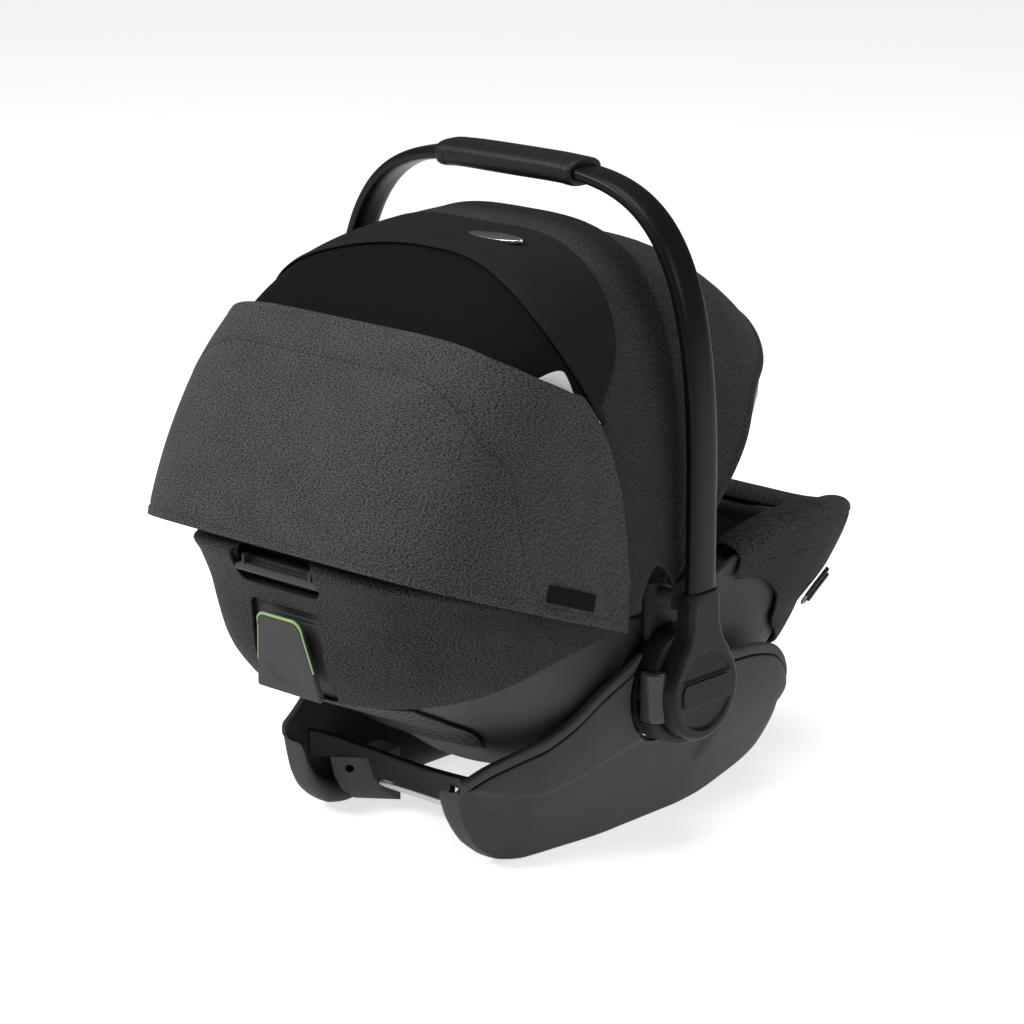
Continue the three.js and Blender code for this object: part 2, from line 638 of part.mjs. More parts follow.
const FRONT_BAR_Y = -176;
const frontHalf = along(KEEL_X, FRONT_BAR_Y) - BASE_BAR - 2;
addPart('front_crossmember', pillow(2 * frontHalf, 26, 22, 6, 2).rotateX(Math.PI / 2)
  .translate(0, FRONT_BAR_Y, 36), 'base_plastic');

// ---------------------------------------------------------------- hubs

const PIN_END = 214; // outer end of the pivot pin
const BOLT_HEAD = 4;
const BUTTON = { y0: 38, y1: 53, z0: 127, z1: 173, x0: 188.5, x1: 211 }; // handle release button
const BUTTON_TRAVEL = 3.5;

const boss = join(
  discX(BOSS_RADIUS, BOSS_INNER, HUB_INNER - CLEAR, 0, HUB_Z, 1.5, 24),
  rodX(PIN_RADIUS, BOSS_INNER + 2, PIN_END, 0, HUB_Z, 16),
);
addPair('pivot_boss', boss, 'shell_plastic');

const pinBore = rodX(PIN_RADIUS + CLEAR, HUB_INNER - 5, END_OUTER + 5, 0, HUB_Z, 16);
const buttonPocket = box(BUTTON.x0 - BUTTON_TRAVEL - 0.5, HUB_OUTER + 5, BUTTON.y0 - CLEAR, HUB_RADIUS + 9,
  BUTTON.z0 - CLEAR, BUTTON.z1 + CLEAR);
const springPocket = rodX(5.5, HUB_INNER + 2, BUTTON.x0, 44, HUB_Z, 16);
const hub = cut(discX(HUB_RADIUS, HUB_INNER, HUB_OUTER, 0, HUB_Z, 3, 32), pinBore, buttonPocket,
  springPocket);
addPair('handle_hub', hub, 'handle_metal');

// Button with two flats that meet along an upright ridge.
function hubButton() {
  const ridge = BUTTON.y0 + 7;
  const shape = new THREE.Shape();
  shape.moveTo(BUTTON.x0, BUTTON.y0);
  shape.lineTo(BUTTON.x1 - 1.5, BUTTON.y0);
  shape.lineTo(BUTTON.x1, ridge);
  shape.lineTo(BUTTON.x1 - 5, BUTTON.y1);
  shape.lineTo(BUTTON.x0, BUTTON.y1);
  shape.lineTo(BUTTON.x0, BUTTON.y0);
  const body = new THREE.ExtrudeGeometry(shape, {
    depth: BUTTON.z1 - BUTTON.z0 - 3, bevelEnabled: true, bevelSize: 1, bevelOffset: -1,
    bevelThickness: 1.5, bevelSegments: 1,
  });
  const shield = rodX(END_RADIUS + 2 * CLEAR, HUB_OUTER - 0.5, END_OUTER, 0, HUB_Z, 24);
  const round = rodX(HUB_RADIUS + BUTTON_PROUD, BUTTON.x0 - 5, BUTTON.x1 + 5, 0, HUB_Z, 48);
  return cut(common(body.translate(0, 0, BUTTON.z0 + 1.5), round), shield);
}
addPair('hub_button', hubButton(), 'button_grey');

class Helix extends THREE.Curve {
  constructor(radius, length, turns) {
    super();
    Object.assign(this, { radius, length, turns });
  }

  getPoint(t, target = new THREE.Vector3()) {
    const angle = t * this.turns * Math.PI * 2;
    return target.set(t * this.length, this.radius * Math.cos(angle), this.radius * Math.sin(angle));
  }
}

// Round wire along a curve.
function wire(curve, radius, sides, count) {
  const section = new THREE.Shape(steps(sides).slice(0, sides).map((t) => new THREE.Vector2(
    radius * Math.cos(t * Math.PI * 2), radius * Math.sin(t * Math.PI * 2))));
  return new THREE.ExtrudeGeometry(section, { steps: count, extrudePath: curve, bevelEnabled: false });
}
const SPRING_LENGTH = BUTTON.x0 - HUB_INNER - 2 - BUTTON_TRAVEL - 2;
addPair('hub_spring', wire(new Helix(4, SPRING_LENGTH, 3), 0.5, 4, 24)
  .translate(BUTTON.x0 - SPRING_LENGTH - 1, 44, HUB_Z), 'steel');

// ---------------------------------------------------------------- handle

const bendStart = new THREE.Vector3(HANDLE_HALF_WIDTH, 0, HANDLE_STRAIGHT);
const bendEnd = new THREE.Vector3(HANDLE_FLAT, 0, HANDLE_TOP);
const foot = new THREE.Vector3(HANDLE_HALF_WIDTH, 0, HANDLE_FOOT);
const controlOut = new THREE.Vector3(HANDLE_HALF_WIDTH, 0, mix(HANDLE_STRAIGHT, HANDLE_TOP, 0.9));
const controlIn = new THREE.Vector3(mix(HANDLE_FLAT, HANDLE_HALF_WIDTH, 0.62), 0, HANDLE_TOP);
const flip = (v) => new THREE.Vector3(-v.x, v.y, v.z);
const handleCurve = new THREE.CurvePath();
handleCurve.add(new THREE.LineCurve3(foot, bendStart));
handleCurve.add(new THREE.CubicBezierCurve3(bendStart, controlOut, controlIn, bendEnd));
handleCurve.add(new THREE.LineCurve3(bendEnd, flip(bendEnd)));
handleCurve.add(new THREE.CubicBezierCurve3(flip(bendEnd), flip(controlIn), flip(controlOut),
  flip(bendStart)));
handleCurve.add(new THREE.LineCurve3(flip(bendStart), flip(foot)));

// Flat oval bar along part of the handle's line, from share to share of its length.
function handleBar(depth, thick, from, to, count, sides = 10) {
  const rings = steps(count).map((t) => {
    const share = mix(from, to, t);
    const middle = handleCurve.getPointAt(share);
    const tangent = handleCurve.getTangentAt(share);
    const outward = new THREE.Vector3(tangent.z, 0, -tangent.x);
    return steps(sides).slice(0, sides).map((s) => {
      const angle = s * Math.PI * 2;
      return middle.clone()
        .addScaledVector(outward, (thick / 2) * power(Math.cos(angle), 0.75))
        .add(new THREE.Vector3(0, (depth / 2) * power(Math.sin(angle), 0.75), 0));
    });
  });
  return throughRings(rings, ['x', 'y']);
}
const ARCH_COUNT = 30;
const gripShare = GRIP_HALF / handleCurve.getLength();
addPart('handle_arch', handleBar(HANDLE_DEPTH, HANDLE_THICK, 0, 1, ARCH_COUNT), 'handle_metal');
const gripBody = handleBar(GRIP_DEPTH, GRIP_THICK, 0.5 - gripShare, 0.5 + gripShare, 6);
const gripHole = handleBar(HANDLE_DEPTH + 5 * CLEAR, HANDLE_THICK + 5 * CLEAR, 0, 1, ARCH_COUNT);
addPart('handle_grip', cut(gripBody, gripHole), 'leather');

// End fitting: a round shield with a flared neck that takes the foot of the arch.
const END_INNER = HUB_OUTER + CLEAR;
const NECK_OUTER = HANDLE_HALF_WIDTH + HANDLE_THICK / 2 + 2.7;
const FACE_RADIUS = 36; // shallow recess in the shield
const FACE_DEPTH = 2.5;
const BAND_HALF = 12; // half height of the flat band across the recess

function handleEnd() {
  const neck = [[END_NECK_TOP, 1], [END_NECK_TOP - 2, 1], [214, 1], [200, 1.12], [188, 1.42], [176, 1.85],
    [160, 2]]
    .map(([z, flare]) => steps(12).slice(0, 12).map((t) => {
      const angle = t * Math.PI * 2;
      const outer = mix(NECK_OUTER, END_OUTER, Math.min(1, Math.max(0, (214 - z) / 30)));
      const middle = (END_INNER + outer) / 2;
      return new THREE.Vector3(
        middle + ((outer - END_INNER) / 2) * power(Math.cos(angle), 0.6),
        (END_NECK_DEPTH / 2) * flare * power(Math.sin(angle), 0.8),
        z,
      );
    }));
  const shield = discX(END_RADIUS, END_INNER, END_OUTER, 0, HUB_Z, 4, 24);
  const socket = handleBar(HANDLE_DEPTH + 2 * CLEAR, HANDLE_THICK + 2 * CLEAR, 0, 0.1, 2);
  const socketEnd = box(207, 220, -12, 12, HANDLE_FOOT - 1, HANDLE_FOOT + 1);
  const face = cut(rodX(FACE_RADIUS, END_OUTER - FACE_DEPTH, END_OUTER + 5, 0, HUB_Z, 24),
    box(200, 240, -60, 60, HUB_Z - BAND_HALF, HUB_Z + BAND_HALF));
  const boltHole = rodX(PIN_HEAD_RADIUS + CLEAR, PIN_END + CLEAR, END_OUTER + 5, 0, HUB_Z, 16);
  return cut(join(throughRings(neck, ['x', 'y']), shield), socket, socketEnd, face, pinBore, boltHole);
}
addPair('handle_end', handleEnd(), 'handle_metal');
addPair('pivot_bolt', discX(PIN_HEAD_RADIUS, PIN_END + 2 * CLEAR, PIN_END + 2 * CLEAR + BOLT_HEAD, 0, HUB_Z,
  1, 12), 'steel');
addPair('hub_plate', pillow(22, 62, 1.6, 4, 0.4).rotateY(Math.PI / 2)
  .translate(END_OUTER + CLEAR + 0.8, 0, HUB_Z), 'base_plastic');

// ---------------------------------------------------------------- canopy

const PIVOT_REACH = 0.9965; // how near the pivot a section's cloth comes
const EYE_RADIUS = 20;

function canopyEye(outer) {
  const [y, z] = CANOPY_PIVOT.toArray();
  const eye = rodX(EYE_RADIUS, outer - CANOPY_WALL, outer, y, z, 24);
  return cut(eye, rodX(CANOPY_PIN + CLEAR, outer - 10, outer + 10, y, z, 24));
}

function withEyes(section, outer) {
  const eye = canopyEye(outer);
  const [y, z] = CANOPY_PIVOT.toArray();
  const hole = rodX(CANOPY_PIN + CLEAR, -300, 300, y, z, 24);
  return cut(join(section, eye, mirrored(eye)), hole);
}

const flap = canopySection(flapRadius, flapWidth, flapFront, hemAngle, 20, 5, 0.975);
addPart('canopy_back', flap, 'fabric');

const WINDOW_FRONT = 8; // front edge of the mesh window, degrees
const WINDOW_REACH = 0.71; // how far down the sides the window comes
const BOW_SPAN = 3; // bow, degrees round the canopy
const BOW_WALL = 2.5;
const BOW_GAP = 1.5;
const ARCH_STEPS = 20; // steps of a section from pivot to pivot
const BOW_STEPS = 18; // the bow stops one step short of each pivot

// Cloth at one side of the window, from the window's edge to the pivot.
function hoodWing(sign) {
  const surface = (depth) => (u, v) => {
    const side = mix(WINDOW_REACH + 0.004, PIVOT_REACH, u);
    const angle = mix(WINDOW_FRONT - 0.1, hoodRear(side), v);
    return canopyPoint(sign * side, angle, hoodRadius(angle) - depth, hoodWidth() - depth);
  };
  return sheet(surface(0), surface(CANOPY_WALL), 8, 4);
}

// Stiff bow inside the front edge of a section.
function bow(radius, width, front) {
  return canopySection(radius, width, same(front), same(front + BOW_SPAN), BOW_STEPS, 1,
    (PIVOT_REACH * BOW_STEPS) / ARCH_STEPS, -CANOPY_WALL - BOW_GAP, BOW_WALL);
}

const hoodFront = canopySection(hoodRadius, hoodWidth, same(HOOD_FRONT), same(WINDOW_FRONT), ARCH_STEPS, 2,
  PIVOT_REACH);
addPart('hood_panel', withEyes(join(hoodFront, hoodWing(1), hoodWing(-1)), hoodWidth()), 'dark_fabric');
addPart('hood_bow', bow(hoodRadius, hoodWidth, HOOD_FRONT), 'shell_plastic');
addPart('hood_window', canopySection(hoodRadius, hoodWidth, same(WINDOW_FRONT + 0.3), same(HOOD_REAR), 16, 4,
  WINDOW_REACH - 0.004), 'mesh_cloth');

const visorSkin = canopySection(visorRadius, visorWidth, same(VISOR_FRONT), same(VISOR_REAR), ARCH_STEPS, 5,
  PIVOT_REACH);
addPart('visor_panel', withEyes(visorSkin, visorWidth()), 'fabric');
addPart('visor_bow', bow(visorRadius, visorWidth, VISOR_FRONT), 'shell_plastic');

const MOUNT_INNER = 171.5;
const mountPlate = box(MOUNT_INNER, HUB_INNER - 0.5, CANOPY_PIVOT.x - 15, CANOPY_PIVOT.x + 15,
  HUB_Z + BOSS_RADIUS + 2,
  CANOPY_PIVOT.y + 14);
const mountPin = rodX(CANOPY_PIN, MOUNT_INNER + 2, FLAP_WIDTH - 4, ...CANOPY_PIVOT.toArray(), 20);
addPair('canopy_mount', join(mountPlate, mountPin), 'shell_plastic');

// ---------------------------------------------------------------- foot end buttons

const FOOT_BUTTON = { turn: 222, rise: 0.62, length: 62, width: 20 };

// Places a piece that lies in the XY plane, long side along X, on the outside of the foot end, right side.
function onFootEnd(geometry) {
  const at = bucketPoint(540 - FOOT_BUTTON.turn, FOOT_BUTTON.rise, -COVER_GAP - COVER_WALL);
  const ahead = bucketPoint(540 - FOOT_BUTTON.turn - 4, FOOT_BUTTON.rise + 0.02, -COVER_GAP - COVER_WALL);
  const above = bucketPoint(540 - FOOT_BUTTON.turn, FOOT_BUTTON.rise + 0.1, -COVER_GAP - COVER_WALL);
  const alongSide = ahead.sub(at).normalize();
  const up = above.sub(at).normalize();
  const out = alongSide.clone().cross(up).normalize();
  if (out.x < 0) out.negate();
  const turn = new THREE.Matrix4().makeBasis(alongSide, out.clone().cross(alongSide), out);
  return closed(closed(geometry).applyMatrix4(turn).translate(at.x, at.y, at.z));
}

const bezelRing = cut(
  pillow(FOOT_BUTTON.length, FOOT_BUTTON.width, 4, 10, 0.6).translate(0, 0, 3.6),
  pillow(FOOT_BUTTON.length - 7, FOOT_BUTTON.width - 7, 20, 6, 0),
);
const bezelFloor = pillow(FOOT_BUTTON.length - 1.4, FOOT_BUTTON.width - 1.4, 0.8, 9, 0).translate(0, 0, 1.9);
addPair('foot_bezel', onFootEnd(join(bezelRing, bezelFloor)), 'shell_plastic');
addPair('foot_button',
  onFootEnd(pillow(FOOT_BUTTON.length - 8, FOOT_BUTTON.width - 8, 3, 5, 0.5).translate(0, 0, 7)),
  'shell_plastic');

// ---------------------------------------------------------------- headrest and harness

const padFace = padOuter + PAD_WALL;

const STRAP_TURN = 74; // place round the bucket at which a shoulder strap runs down the back
const STRAP_WIDTH = 38;
const STRAP_THICK = 2;
const STRAP_LIFT = 9;
const strapPoint = (rise, lift) => bucketPoint(STRAP_TURN, rise, padFace + lift);

const shoulderLine = [0.44, 0.38, 0.31, 0.24, 0.17, 0.1].map((rise) => strapPoint(rise, STRAP_LIFT));
addPair('shoulder_strap', strip(shoulderLine, STRAP_WIDTH, STRAP_THICK), 'webbing');
const padLine = [0.3, 0.25, 0.2, 0.15].map((rise) => strapPoint(rise, STRAP_LIFT + STRAP_THICK + 5));
addPair('strap_pad', strip(padLine, STRAP_WIDTH + 14, 8), 'lining');

const padFloor = SHELL_FLOOR + padFace; // height of the pad's face at the bottom of the bucket
const BUCKLE = new THREE.Vector3(0, -30, padFloor + 18.5);
const BUCKLE_TILT = 18;
const onBuckle = (geometry) => closed(geometry).rotateX(radians(BUCKLE_TILT)).translate(...BUCKLE.toArray());
const RED = { width: 26, height: 20 };
const buckleBody = cut(pillow(58, 62, 20, 12, 3),
  pillow(RED.width, RED.height, 14, 3, 0).translate(0, -8, 9));
addPart('buckle_body', onBuckle(buckleBody), 'shell_plastic');
addPart('buckle_button', onBuckle(pillow(RED.width - 1, RED.height - 1, 7, 3, 0.8).translate(0, -8, 9.3)),
  'buckle_red');
const crotchPoints = [[-66, 9], [-90, 5.5], [-118, 6.5]];
const crotchLine = crotchPoints.map(([y, lift]) => new THREE.Vector3(0, y, padFloor + lift));
addPart('crotch_strap', strip(crotchLine, STRAP_WIDTH, STRAP_THICK), 'webbing');
addPair('buckle_tongue', onBuckle(pillow(16, 26, 3, 3, 0.6).translate(12, 46, 2)), 'steel');

// Horseshoe cushion that lies on the sloping back and moves up it.
const HEADREST = { half: 66, length: 90, arm: 34, thick: 30, tilt: 27, y: 124, z: 181 };
function headrest() {
  const shape = new THREE.Shape();
  const { half, length, arm } = HEADREST;
  const hollow = half - arm;
  shape.moveTo(-half, 0);
  shape.lineTo(-hollow, 0);
  shape.lineTo(-hollow, length - half);
  shape.absarc(0, length - half, hollow, Math.PI, 0, true);
  shape.lineTo(hollow, 0);
  shape.lineTo(half, 0);
  shape.lineTo(half, length - half);
  shape.absarc(0, length - half, half, 0, Math.PI);
  const body = new THREE.ExtrudeGeometry(shape, {
    depth: HEADREST.thick - 8, curveSegments: 10, bevelEnabled: true, bevelSize: 4, bevelOffset: -4,
    bevelThickness: 4, bevelSegments: 1,
  });
  return closed(body).rotateX(radians(HEADREST.tilt)).translate(0, HEADREST.y, HEADREST.z);
}
addPart('headrest', headrest(), 'lining');

const ADJUSTER = new THREE.Vector3(0, -236, 168);
addPart('harness_adjuster', cut(pillow(44, 34, 10, 5, 1.5), pillow(26, 16, 8, 3, 0).translate(0, 2, 5))
  .rotateX(radians(48)).translate(...ADJUSTER.toArray()), 'shell_plastic');
addPart('adjuster_button', closed(pillow(25, 15, 4, 3, 0.6).translate(0, 2, 5.4))
  .rotateX(radians(48)).translate(...ADJUSTER.toArray()), 'button_grey');

// ---------------------------------------------------------------- stand the seat on the floor, in the middle

const bounds = new THREE.Box3().setFromObject(seat);
const middle = bounds.getCenter(new THREE.Vector3());
seat.position.set(-middle.x, -middle.y, -bounds.min.z);
seat.updateMatrixWorld(true);

export default seat;
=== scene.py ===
"""Infant car seat: finished surfaces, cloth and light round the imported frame.

Places are millimetres from the handle's pivot axis: X to the right, Y towards the head end, Z above the floor.
``Frame.metres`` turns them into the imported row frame.
"""

import json
import logging
import math
from dataclasses import dataclass, field
from enum import Enum
from typing import Callable, Dict, List, Optional, Sequence, Tuple

import bmesh
import bpy
import numpy as np
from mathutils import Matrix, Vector


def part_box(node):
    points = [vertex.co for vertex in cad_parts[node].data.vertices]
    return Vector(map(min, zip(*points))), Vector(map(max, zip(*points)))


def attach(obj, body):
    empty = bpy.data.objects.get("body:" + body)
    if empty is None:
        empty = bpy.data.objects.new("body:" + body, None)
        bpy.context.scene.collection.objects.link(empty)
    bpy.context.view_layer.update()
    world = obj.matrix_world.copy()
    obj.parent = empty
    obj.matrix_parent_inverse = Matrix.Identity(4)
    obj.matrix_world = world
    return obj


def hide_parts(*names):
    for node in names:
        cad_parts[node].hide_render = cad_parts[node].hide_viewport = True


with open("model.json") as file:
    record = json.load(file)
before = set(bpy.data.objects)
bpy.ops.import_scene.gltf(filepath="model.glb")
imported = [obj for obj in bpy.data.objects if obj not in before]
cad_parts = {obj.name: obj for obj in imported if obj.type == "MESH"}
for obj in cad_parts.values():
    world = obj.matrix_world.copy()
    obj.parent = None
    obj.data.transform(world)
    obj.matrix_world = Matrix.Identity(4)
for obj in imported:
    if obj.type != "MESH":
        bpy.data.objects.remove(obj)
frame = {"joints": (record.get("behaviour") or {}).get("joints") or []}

LOG = logging.getLogger("infant_car_seat")
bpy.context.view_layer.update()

Array = np.ndarray
Table = Sequence[Tuple[float, float]]
Colour = Tuple[float, float, float]


class Side(Enum):
    """Which side of the seat a piece is on; the value is the sign of its X."""

    LEFT = -1
    RIGHT = 1

    @property
    def suffix(self) -> str:
        """Ending of a piece's name on this side."""
        return self.name.lower()


class Hold(Enum):
    """How a sheet of cloth is held."""

    STRETCHED = "stretched"
    LAID = "laid"


# ---------------------------------------------------------------- numbers and curves


def smoothstep(value: Array, low: float, high: float) -> Array:
    """Smooth rise from 0 at ``low`` to 1 at ``high``: t squared times (3 - 2 t)."""
    t = np.clip((np.asarray(value, float) - low) / (high - low), 0, 1)
    return t * t * (3 - 2 * t)


def mix(a: Array, b: Array, t: Array) -> Array:
    """Straight blend from a (t = 0) to b (t = 1)."""
    return a + (b - a) * t


def signed_power(value: Array, exponent: Array) -> Array:
    """Size of the value raised to an exponent, with the value's sign."""
    return np.sign(value) * np.abs(value) ** exponent


def along(table: Table, at: Array) -> Array:
    """Smooth curve through a table that never overshoots between two entries.

    Cubic Hermite pieces whose slope at an entry is the harmonic mean of its neighbours' slopes.

    Args:
        table: pairs of place and value, in order of place.
        at: places to read.
    Returns:
        The values there, held level beyond both ends.
    """
    x, y = np.array(table, float).T
    at = np.clip(np.asarray(at, float), x[0], x[-1])
    slope = np.diff(y) / np.diff(x)
    product = slope[:-1] * slope[1:]
    total = slope[:-1] + slope[1:]
    inner = np.where(product > 0, 2 * product / np.where(total == 0, 1, total), 0.0)
    tangent = np.concatenate([slope[:1], inner, slope[-1:]])
    i = np.clip(np.searchsorted(x, at) - 1, 0, len(x) - 2)
    width = x[i + 1] - x[i]
    t = (at - x[i]) / width
    level = (2 * t**3 - 3 * t**2 + 1) * y[i] + (3 * t**2 - 2 * t**3) * y[i + 1]
    return level + width * ((t**3 - 2 * t**2 + t) * tangent[i] + (t**3 - t**2) * tangent[i + 1])


def edge_dense(count: int, edge: float = 0.012) -> Array:
    """Places from 0 to 1, evenly spaced, with three extra close to each end for a rounded rim."""
    near = np.array([0.0, 0.12, 0.35, 0.65]) * edge
    return np.concatenate([near, np.linspace(edge, 1 - edge, count), 1 - near[::-1]])


def unit(vectors: Array) -> Array:
    """Vectors of the same direction with length 1."""
    return vectors / np.maximum(np.linalg.norm(vectors, axis=-1, keepdims=True), 1e-9)


def grid_normals(points: Array, wrap: bool = False) -> Array:
    """Normals of a grid of points: the cross product of the two directions of the grid."""
    if wrap:
        ahead = np.roll(points, -1, axis=1) - np.roll(points, 1, axis=1)
    else:
        ahead = np.gradient(points, axis=1)
    return unit(np.cross(ahead, np.gradient(points, axis=0)))


def resample(path: Array, count: int) -> Array:
    """Points spaced evenly along a polyline."""
    lengths = np.concatenate([[0], np.cumsum(np.linalg.norm(np.diff(path, axis=0), axis=1))])
    at = np.linspace(0, lengths[-1], count)
    return np.stack([np.interp(at, lengths, path[:, k]) for k in range(path.shape[1])], axis=1)


def rounded(points: Array, rounds: int = 3, closed: bool = True) -> Array:
    """Corner cutting: each edge is replaced by its quarter and three-quarter points, several times."""
    for _ in range(rounds):
        after = np.roll(points, -1, axis=0) if closed else points[1:]
        before = points if closed else points[:-1]
        cut = np.stack([before * 0.75 + after * 0.25, before * 0.25 + after * 0.75], axis=1)
        cut = cut.reshape(-1, points.shape[1])
        points = cut if closed else np.concatenate([points[:1], cut, points[-1:]])
    return points


def distance_to_path(points: Array, path: Array) -> Array:
    """Shortest distance from each point to a polyline, from its segments' closest points."""
    flat = points.reshape(-1, points.shape[-1])
    best = np.full(len(flat), 1e9)
    start, step = path[:-1], np.diff(path, axis=0)
    long = np.maximum((step**2).sum(1), 1e-9)
    for chunk in np.array_split(np.arange(len(flat)), max(1, len(flat) // 4000)):
        away = flat[chunk, None] - start
        t = np.clip((away * step).sum(-1) / long, 0, 1)
        best[chunk] = np.linalg.norm(away - t[..., None] * step, axis=-1).min(1)
    return best.reshape(points.shape[:-1])


def ripple(points: Array, scale: float, seed: int) -> Array:
    """Smooth uneven field from -1 to 1: the mean of eight sine waves in seeded directions.

    Args:
        points: places, in millimetres.
        scale: wave length of the slowest wave.
        seed: picks the directions and starts.
    """
    rng = np.random.default_rng(seed)
    total = np.zeros(points.shape[:-1])
    for i in range(8):
        way = unit(rng.normal(size=3))
        total += np.sin((points @ way) * 2 * math.pi / (scale * rng.uniform(0.45, 1.3)) + rng.uniform(0, 6.3))
    return total / 4


# ---------------------------------------------------------------- meshes


class Frame:
    """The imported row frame: its joints and the change from hub millimetres to metres."""

    joints: Dict[str, dict] = {j["name"]: j for j in frame["joints"]}
    hub: Array = np.array(joints["handle_swing"]["pos_m"], float)
    canopy: Array = np.array(joints["hood_fold"]["pos_m"], float)

    @classmethod
    def metres(cls, points: Array) -> Array:
        """Hub millimetres to row-frame metres."""
        return np.asarray(points, float) * 0.001 + np.array([0, cls.hub[1], 0])

    @classmethod
    def millimetres(cls, point: Sequence[float]) -> Array:
        """Row-frame metres to hub millimetres."""
        return (np.asarray(point, float) - np.array([0, cls.hub[1], 0])) * 1000

    @classmethod
    def node(cls, name: str) -> Tuple[Array, Array]:
        """Lowest and highest corner of a CAD node, in hub millimetres."""
        low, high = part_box(name)
        return cls.millimetres(low), cls.millimetres(high)


def quads(rows: int, columns: int, wrap: bool = False, start: int = 0) -> Array:
    """Corner numbers of the squares of a grid stored row by row."""
    i, j = np.meshgrid(np.arange(rows - 1), np.arange(columns if wrap else columns - 1), indexing="ij")
    k = (j + 1) % columns
    square = np.stack([i * columns + j, i * columns + k, (i + 1) * columns + k, (i + 1) * columns + j], -1)
    return square.reshape(-1, 4) + start


def put_mesh(name: str, points: Array, faces: List[Sequence[int]], uv: Optional[Array] = None,
             crease: float = 38.0) -> bpy.types.Object:
    """Makes a mesh object at the origin from hub millimetres, with its faces turned outward.

    Args:
        name: piece name.
        points: corners, (n, 3).
        faces: corner numbers of each face.
        uv: a place on the cloth for each corner, in metres.
        crease: edges sharper than this many degrees are shaded as edges.
    Returns:
        The new object.
    """
    mesh = bpy.data.meshes.new(name)
    mesh.from_pydata(Frame.metres(points).tolist(), [], [list(map(int, f)) for f in faces])
    mesh.validate()
    turn_outward(mesh)
    if uv is not None:
        layer = mesh.uv_layers.new(name="cloth")
        corner = np.zeros(len(mesh.loops), np.int32)
        mesh.loops.foreach_get("vertex_index", corner)
        layer.data.foreach_set("uv", np.asarray(uv, np.float32)[corner].ravel())
    finish_mesh(mesh, crease)
    piece = bpy.data.objects.new(name, mesh)
    bpy.context.scene.collection.objects.link(piece)
    return piece


def turn_outward(mesh: bpy.types.Mesh) -> None:
    """Flips every face if the mesh's volume comes out negative."""
    mesh.calc_loop_triangles()
    corner = np.zeros(len(mesh.loop_triangles) * 3, np.int32)
    mesh.loop_triangles.foreach_get("vertices", corner)
    place = np.zeros(len(mesh.vertices) * 3, np.float32)
    mesh.vertices.foreach_get("co", place)
    a, b, c = place.reshape(-1, 3)[corner.reshape(-1, 3)].transpose(1, 0, 2)
    if (a * np.cross(b, c)).sum() < 0:
        mesh.flip_normals()


def finish_mesh(mesh: bpy.types.Mesh, crease: float) -> None:
    """Smooth shading, with edges sharper than ``crease`` degrees kept crisp."""
    mesh.polygons.foreach_set("use_smooth", np.ones(len(mesh.polygons), bool))
    mesh.set_sharp_from_angle(angle=math.radians(crease))
    mesh.update()


def cloth_uv(points: Array) -> Array:
    """Places on the flat cloth, in metres: arc length across and down the grid, from its middle."""
    across = np.concatenate([np.zeros((len(points), 1)),
                             np.cumsum(np.linalg.norm(np.diff(points, axis=1), axis=-1), axis=1)], axis=1)
    across -= across[:, across.shape[1] // 2][:, None]
    down = np.concatenate([np.zeros((1, points.shape[1])),
                           np.cumsum(np.linalg.norm(np.diff(points, axis=0), axis=-1), axis=0)], axis=0)
    return np.stack([across, down], -1) * 0.001


def edge_distance(points: Array) -> Array:
    """Distance along the grid from each point to the sheet's nearest border."""
    across = np.linalg.norm(np.diff(points, axis=1), axis=-1)
    down = np.linalg.norm(np.diff(points, axis=0), axis=-1)
    left = np.concatenate([np.zeros((len(points), 1)), np.cumsum(across, axis=1)], axis=1)
    top = np.concatenate([np.zeros((1, points.shape[1])), np.cumsum(down, axis=0)], axis=0)
    return np.minimum(np.minimum(left, left[:, -1:] - left), np.minimum(top, top[-1:] - top))


def skin(name: str, middle: Array, thickness: float, extra: Optional[Array] = None) -> bpy.types.Object:
    """Thin wall of cloth or plastic round a middle surface, with half-round borders.

    Half the thickness h at distance d from the border is (t/2) * sqrt(1 - (1 - d / (t/2)) squared).

    Args:
        name: piece name.
        middle: grid of points.
        thickness: full thickness.
        extra: added half thickness for each point, such as a hem.
    Returns:
        The closed wall.
    """
    rows, columns = middle.shape[:2]
    half = thickness / 2 + (0 if extra is None else extra)
    t = np.clip(edge_distance(middle) / (thickness / 2), 0, 1)
    half = half * np.sqrt(np.maximum(0, 1 - (1 - t) ** 2))
    normals = grid_normals(middle)
    outer = middle + normals * half[..., None]
    inner = middle - normals * half[..., None]
    border = np.ones((rows, columns), bool)
    border[1:-1, 1:-1] = False
    number = np.arange(rows * columns).reshape(rows, columns)
    other = np.where(border, number, 0)
    other[~border] = rows * columns + np.arange((~border).sum())
    squares = quads(rows, columns)
    back = other.ravel()[squares][:, ::-1]
    uv = cloth_uv(middle).reshape(-1, 2)
    points = np.concatenate([outer.reshape(-1, 3), inner[~border]])
    return put_mesh(name, points, [*squares, *back], np.concatenate([uv, uv[~border.ravel()]]), 60)


def loft(name: str, rings: Array, crease: float = 38.0) -> bpy.types.Object:
    """Solid through closed rings, shape (rings, points, 3), with a fan over each end."""
    count, size = rings.shape[:2]
    points = np.concatenate([rings.reshape(-1, 3), rings[0].mean(0)[None], rings[-1].mean(0)[None]])
    at = np.arange(size)
    first, last = count * size, count * size + 1
    start = np.stack([(at + 1) % size, at, np.full(size, first)], -1)
    stop = np.stack([at, (at + 1) % size, np.full(size, last)], -1) + np.array([(count - 1) * size] * 2 + [0])
    return put_mesh(name, points, [*quads(count, size, True), *start, *stop], None, crease)


